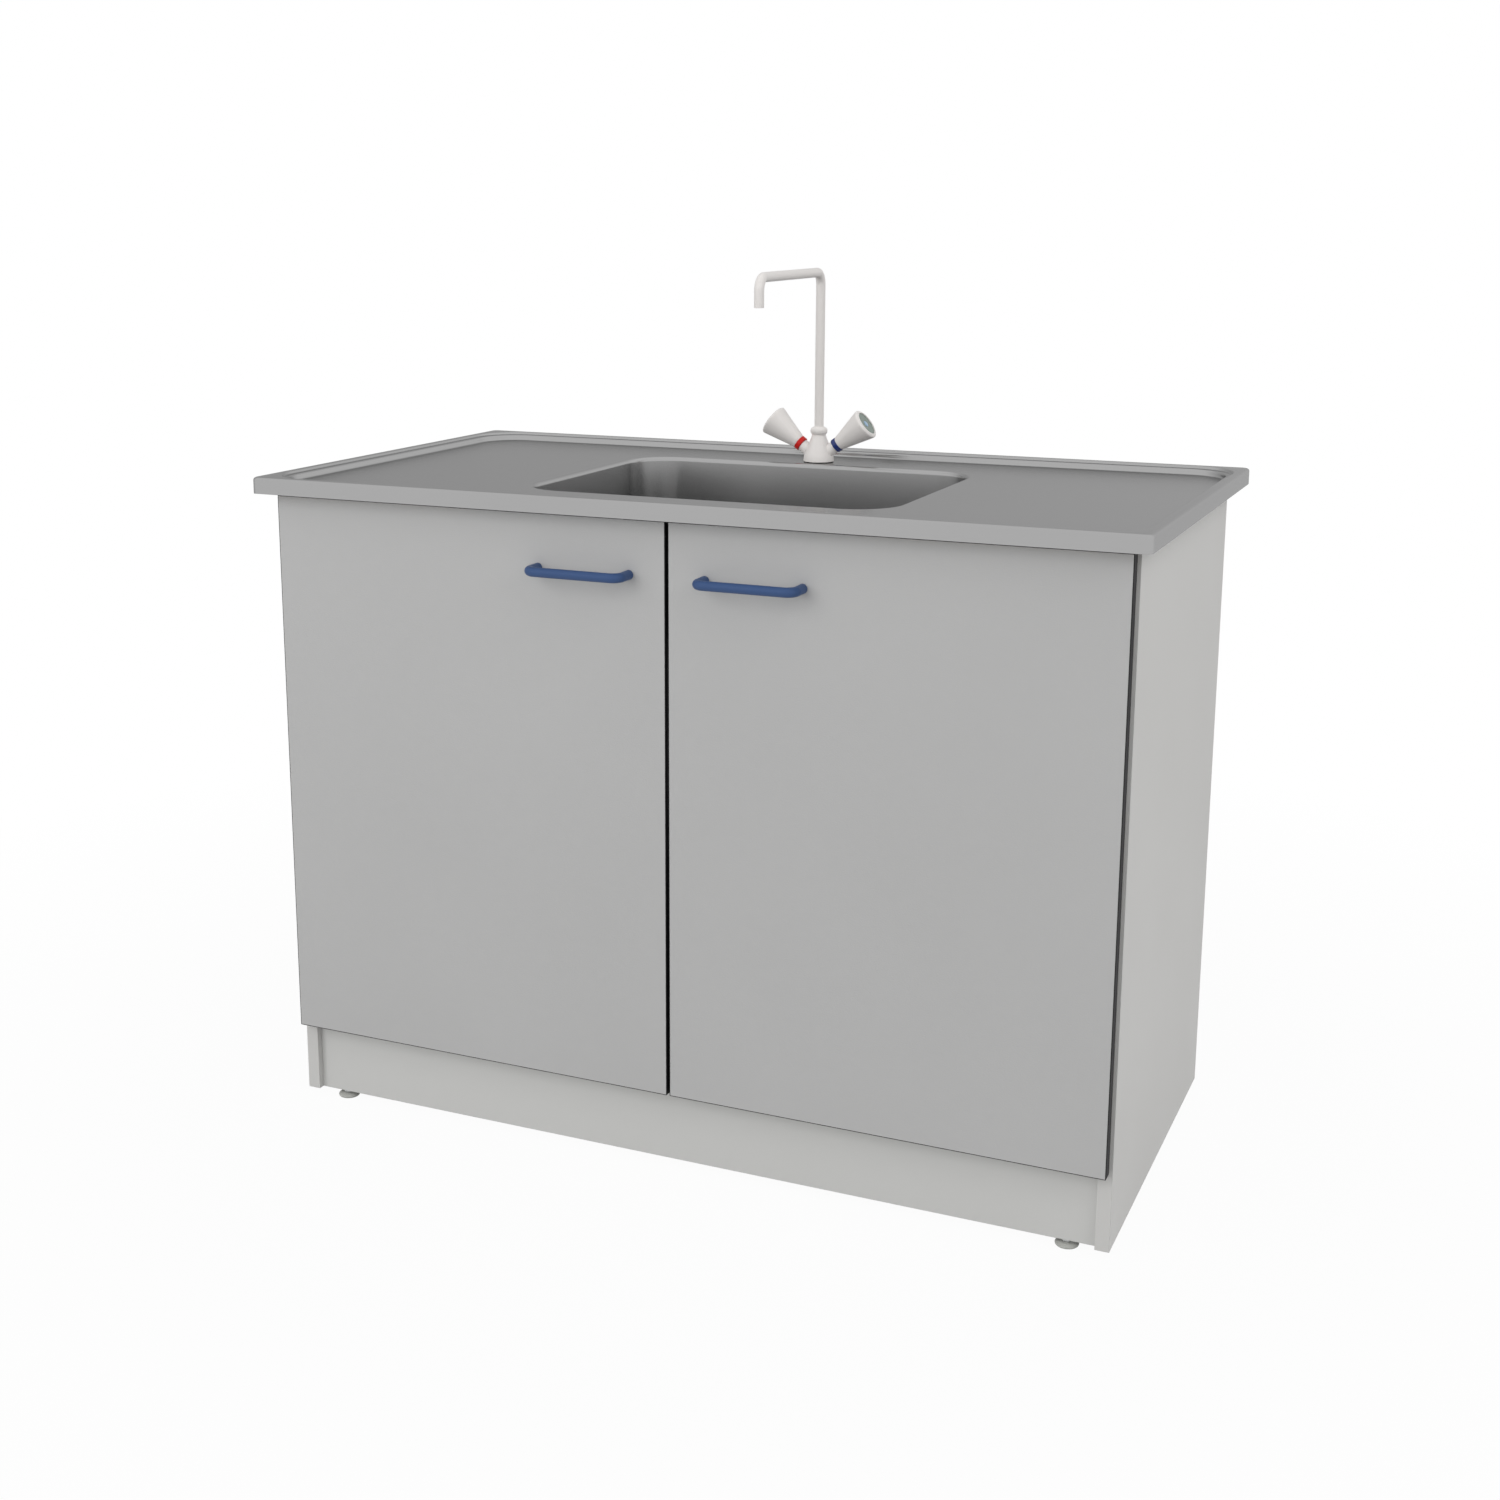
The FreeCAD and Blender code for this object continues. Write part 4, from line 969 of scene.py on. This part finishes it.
@dataclass
class MixerTap:
    """Bell-shaped mixer with a swivelling pipe spout and two conical handles."""

    palette: Palette
    axes_drop: float = 4.8 * MM
    gasket_bite: float = 1.0 * MM
    shank_radius: float = 13.0 * MM
    neck_radius: float = 10.2 * MM
    spout_turn: float = math.radians(2.5)
    pipe_radius: float = 6.7 * MM
    pipe_play: float = 0.05 * MM
    pipe_bore: float = 5.2 * MM
    pipe_bore_depth: float = 14.0 * MM
    tip_rim: float = 0.93
    tip_round: float = 0.5 * MM
    tip_reach: float = 1.0 * MM
    bend_radius: float = 18.0 * MM

    def __post_init__(self) -> None:
        """Read the tap's axis and heights from the frame."""
        low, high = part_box("tap_gasket")
        self.axis = Vector(((low.x + high.x) / 2, (low.y + high.y) / 2, 0.0))
        self.seat = high.z
        self.meet = Vector((self.axis.x, self.axis.y,
                            self.seat - self.gasket_bite + self.axes_drop))

    def upright(self, bm: bmesh.types.BMesh) -> bmesh.types.BMesh:
        """Move a body turned about Z onto the tap's axis."""
        bmesh.ops.translate(bm, verts=bm.verts, vec=self.axis)
        return bm

    def build_body(self) -> None:
        """Bell and the shank below the deck."""
        low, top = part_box("tap_body")[0].z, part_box("spout_collar")[0].z
        seat, shank, neck = self.seat, self.shank_radius, self.neck_radius
        bell = [(22.2, 0.0, 0.5), (22.2, 2.6, 1.2), (21.5, 8.5, 3.0), (18.3, 17.2, 4.0),
                (14.0, 27.6, 4.5), (11.4, 33.8, 2.5)]
        profile = [(0.0, low, 0.0), (shank, low, 0.5 * MM), (shank, seat, 0.0)]
        profile += [(radius * MM, seat + rise * MM, fillet * MM) for radius, rise, fillet in bell]
        profile += [(neck, top, 0.3 * MM), (0.0, top, 0.0)]
        piece = finished("tap_bell", self.upright(turned(profile, 72)), 40.0)
        self.palette.paint(piece, "white_epoxy")
        delivered(piece, "carcass", "tap_body")

    def build_collar(self) -> None:
        """The round bead where the spout enters the body."""
        low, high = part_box("spout_collar")
        mid = (low.z + high.z) / 2
        inner = self.pipe_radius + self.pipe_play
        rows = [(inner, low.z, 0.0), (9.8 * MM, low.z, 0.3 * MM),
                (10.0 * MM, low.z + 1.2 * MM, 0.4 * MM), (12.4 * MM, mid - 2.9 * MM, 2.4 * MM),
                (12.4 * MM, mid + 3.3 * MM, 2.6 * MM), (8.8 * MM, high.z - 0.5 * MM, 0.6 * MM),
                (8.0 * MM, high.z, 0.3 * MM), (inner, high.z, 0.0)]
        piece = finished("spout_bead", self.upright(turned(rows, 64, closed=True)), 40.0)
        self.palette.paint(piece, "white_epoxy")
        delivered(piece, "carcass", "spout_collar")

    def build_spout(self) -> None:
        """The pipe: up, forwards over the bowl, and down to its tip."""
        low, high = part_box("spout_pipe")
        insert_low, insert_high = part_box("spout_insert")
        ahead = Vector((math.sin(self.spout_turn), -math.cos(self.spout_turn), 0.0))
        up, down = Vector((0, 0, 1)), Vector((0, 0, -1))
        tip_y = (insert_low.y + insert_high.y) / 2
        reach = (self.axis.y - tip_y) / math.cos(self.spout_turn)
        arm_z = high.z - self.pipe_radius
        tip_z = insert_low.z - self.tip_reach
        run = PipeRun(Vector((self.axis.x, self.axis.y, low.z)), up, self.pipe_radius, 40)
        run.straight(arm_z - self.bend_radius - low.z)
        run.bend(ahead, self.bend_radius, 16)
        run.straight(reach - 2 * self.bend_radius)
        run.bend(down, self.bend_radius, 16)
        run.straight(arm_z - self.bend_radius - tip_z - self.tip_round)
        run.resize_end(1.0)
        run.straight(self.tip_round)
        run.resize_end(self.tip_rim)
        run.resize_end(self.pipe_bore / self.pipe_radius / self.tip_rim)
        run.straight(-self.pipe_bore_depth)
        run.cap()
        piece = finished("swivel_spout", run.bm)
        self.palette.paint(piece, "white_epoxy")
        delivered(piece, "spout", "spout_pipe")

    def build(self) -> None:
        """Make every visible piece of the tap."""
        handles = [TapHandle(self.palette, name, sign, self.meet)
                   for name, sign in VALVES.items()]
        self.build_body()
        for handle in handles:
            handle.build_stub()
        self.build_collar()
        self.build_spout()
        for handle in handles:
            handle.build_cone()
            handle.build_ring()
            handle.build_cap()


# ---------------------------------------------------------------- feet
@dataclass
class LevellingFoot:
    """The moulded disc of one levelling foot."""

    palette: Palette
    row: str
    side: str
    socket: float = 4.05 * MM
    socket_floor: float = 3.0 * MM

    def build(self) -> None:
        """Turn the disc with its soft rim and the socket for the stud."""
        node = "foot_disc_%s_%s" % (self.row, self.side)
        low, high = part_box(node)
        r, h, socket = (high.x - low.x) / 2, high.z, self.socket
        disc = turned([(0.0, 0.0, 0.0), (r - 1.2 * MM, 0.0, 0.8 * MM), (r, 1.6 * MM, 1.0 * MM),
                       (r, 3.3 * MM, 0.9 * MM), (r - 3.6 * MM, h - 0.3 * MM, 1.6 * MM),
                       (socket + 2.2 * MM, h, 0.3 * MM), (socket, h, 0.2 * MM),
                       (socket, self.socket_floor, 0.0), (0.0, self.socket_floor, 0.0)], 56)
        bmesh.ops.translate(disc, verts=disc.verts,
                            vec=((low.x + high.x) / 2, (low.y + high.y) / 2, 0.0))
        piece = finished("foot_pad_%s_%s" % (self.row, self.side), disc, 40.0)
        self.palette.paint(piece, "grey_plastic")
        delivered(piece, "foot_pad_%s_%s" % (self.row, self.side), node)


# ---------------------------------------------------------------- studio
@dataclass(frozen=True)
class SoftLamp:
    """A large square lamp that faces the object and isn't mirrored in it."""

    name: str
    at: Point
    size: float
    watts: float
    aim: Point = (0.0, 0.0, 0.5)

    def build(self) -> None:
        """Hang the lamp and turn it to the object."""
        data = bpy.data.lights.new(self.name, "AREA")
        data.size = self.size
        data.energy = self.watts
        lamp = bpy.data.objects.new(self.name, data)
        lamp.visible_glossy = False
        lamp.location = self.at
        heading = Vector(self.aim) - Vector(self.at)
        lamp.rotation_euler = heading.to_track_quat("-Z", "Y").to_euler()
        bpy.context.scene.collection.objects.link(lamp)


LAMPS = (SoftLamp("key", (-2.0, -4.4, 2.4), 3.6, 88.0),
         SoftLamp("fill", (2.7, -1.0, 2.9), 2.6, 33.0))


@dataclass
class Studio:
    """Camera, pale floor and soft light.

    Attributes:
        frame_px: Side of the square frame in pixels.
        focal_px: Focal length in pixels.
        centre_px: The optical axis in the frame, from its upper left corner.
        stand: Where the camera stands.
        azimuth: How far it is turned to the left.
        elevation: How far it looks down.
        sensor: Its sensor's width in millimetres.
        clip_end: How far it sees.
        ambient: Strength of the even light from all round.
        back_glow: Strength of the room that metal mirrors low down at the back.
        bright_towards: Direction of the bright side of the room.
        band_span: How far a ray faces that side where the room is dimmest and where it is full.
        overhead_span: Upward part of a ray's direction where the room turns bright overhead.
        horizon_span: The same from below up to the horizon, where the brightness ends.
        floor_half: Half the floor's side.
        floor_grey: Grey of the floor's shaded share.
        floor_glow: Share of the floor near the object that shows no shade.
        fade_span: Distances over which that share grows to all of it.
        floor_behind: Share by which the floor at the back is dimmer in a mirror.
        behind_span: As band_span, for that part of the floor.
    """

    frame_px: float = 1500.0
    focal_px: float = 2007.7
    centre_px: tuple[float, float] = (698.05, 645.65)
    stand: Point = (1.03507, -2.50697, 1.24407)
    azimuth: float = math.radians(24.16)
    elevation: float = math.radians(12.22)
    sensor: float = 36.0
    clip_end: float = 50.0
    ambient: float = 0.58
    back_glow: float = 0.54
    bright_towards: Point = (0.7, -0.714, 0.0)
    band_span: tuple[float, float] = (-1.0, -0.25)
    overhead_span: tuple[float, float] = (0.30, 0.75)
    horizon_span: tuple[float, float] = (-0.08, 0.02)
    floor_half: float = 14.0
    floor_grey: float = 0.60
    floor_glow: float = 0.96
    fade_span: tuple[float, float] = (0.8, 2.0)
    floor_behind: float = 0.55
    behind_span: tuple[float, float] = (-1.0, 0.0)

    def build_camera(self) -> None:
        """Place the camera and shift its frame."""
        data = bpy.data.cameras.new("camera")
        data.sensor_width = self.sensor
        data.lens = self.focal_px / self.frame_px * self.sensor
        half = self.frame_px / 2
        data.shift_x = (half - self.centre_px[0]) / self.frame_px
        data.shift_y = (self.centre_px[1] - half) / self.frame_px
        data.clip_end = self.clip_end
        camera = bpy.data.objects.new("camera", data)
        camera.location = self.stand
        camera.rotation_euler = (math.pi / 2 - self.elevation, 0.0, self.azimuth)
        bpy.context.scene.collection.objects.link(camera)
        bpy.context.scene.camera = camera

    def facing(self, bench: NodeTree, heading: Socket) -> Socket:
        """How far a heading points to the bright side of the room.

        Args:
            bench: The tree that the node is added to.
            heading: The heading, of length 1.

        Returns:
            A value from -1 to 1.
        """
        node = bench.add("ShaderNodeVectorMath", operation="DOT_PRODUCT")
        node.inputs[1].default_value = self.bright_towards
        bench.link(heading, node.inputs[0])
        return node.outputs["Value"]

    def build_world(self) -> None:
        """Even studio light; metal mirrors a white room that is dimmer low down at the back."""
        world = bpy.data.worlds.new("studio")
        bpy.context.scene.world = world
        world.use_nodes = True
        bench = NodeTree(world.node_tree)

        def background(strength: float) -> bpy.types.Node:
            """A white background.

            Args:
                strength: Its strength; 1 is white.

            Returns:
                The node.
            """
            node = bench.add("ShaderNodeBackground")
            node.inputs["Color"].default_value = (1.0, 1.0, 1.0, 1.0)
            node.inputs["Strength"].default_value = strength
            return node

        heading = bench.add("ShaderNodeTexCoord").outputs["Generated"]
        split = bench.add("ShaderNodeSeparateXYZ")
        bench.link(heading, split.inputs[0])
        band = bench.spread(self.facing(bench, heading), self.back_glow, 1.0, *self.band_span)
        overhead = bench.spread(split.outputs["Z"], 0.0, 1.0, *self.overhead_span)
        below = bench.spread(split.outputs["Z"], 1.0, 0.0, *self.horizon_span)
        mirrored = background(1.0)
        upper = bench.maths("MAXIMUM", overhead, below)
        bench.link(bench.maths("MAXIMUM", band, upper), mirrored.inputs["Strength"])
        rays = bench.add("ShaderNodeLightPath")
        lit = bench.mixed(rays.outputs["Is Glossy Ray"], background(self.ambient), mirrored)
        lit = bench.mixed(rays.outputs["Is Transmission Ray"], lit, background(1.0))
        lit = bench.mixed(rays.outputs["Is Camera Ray"], lit, background(1.0))
        output = bench.add("ShaderNodeOutputWorld")
        bench.link(lit.outputs[0], output.inputs["Surface"])

    def build_floor(self) -> None:
        """A plain white floor that keeps a faint shadow."""
        bm = bmesh.new()
        bmesh.ops.create_grid(bm, x_segments=1, y_segments=1, size=self.floor_half)
        floor = finished("studio_floor", bm, outward=False)
        bench = NodeBench("studio_floor")
        matt = bench.add("ShaderNodeBsdfDiffuse")
        matt.inputs["Color"].default_value = (*[self.floor_grey] * 3, 1.0)
        glow = bench.add("ShaderNodeEmission")
        rays = bench.add("ShaderNodeLightPath")
        mirror = rays.outputs["Is Glossy Ray"]
        seen = bench.maths("MAXIMUM", rays.outputs["Is Camera Ray"], mirror)
        away = bench.add("ShaderNodeVectorMath", operation="LENGTH")
        bench.link(bench.place, away.inputs[0])
        fade = bench.spread(away.outputs["Value"], self.floor_glow, 1.0, *self.fade_span)
        heading = bench.add("ShaderNodeVectorMath", operation="NORMALIZE")
        bench.link(bench.place, heading.inputs[0])
        behind = bench.spread(self.facing(bench, heading.outputs[0]), 1.0 - self.floor_behind,
                              0.0, *self.behind_span)
        dimmed = bench.maths("MULTIPLY", mirror, behind)
        strength = bench.add("ShaderNodeMath", operation="SUBTRACT")
        strength.inputs[0].default_value = 1.0
        bench.link(dimmed, strength.inputs[1])
        bench.link(strength.outputs[0], glow.inputs["Strength"])
        mix = bench.mixed(bench.maths("MULTIPLY", seen, fade), matt, glow)
        output = bench.add("ShaderNodeOutputMaterial")
        bench.link(mix.outputs[0], output.inputs["Surface"])
        floor.data.materials.append(bench.material)

    def build(self) -> None:
        """Set up camera, world, floor and lamps."""
        self.build_camera()
        self.build_world()
        self.build_floor()
        for lamp in LAMPS:
            lamp.build()
        bpy.context.scene.view_settings.view_transform = "Standard"


def main() -> None:
    """Build the studio, the pieces and their finishes, in order."""
    logging.basicConfig(level=logging.INFO, format="%(name)s: %(message)s")
    Studio().build()
    palette = Palette()
    SteelTop(palette).build()
    for side in SIDES:
        BowHandle(palette, side).build()
        EdgeBand(palette, side).build()
    MixerTap(palette).build()
    for row in ROWS:
        for side in SIDES:
            LevellingFoot(palette, row, side).build()
    palette.dress_nodes()


if __name__ == "__main__":
    main()
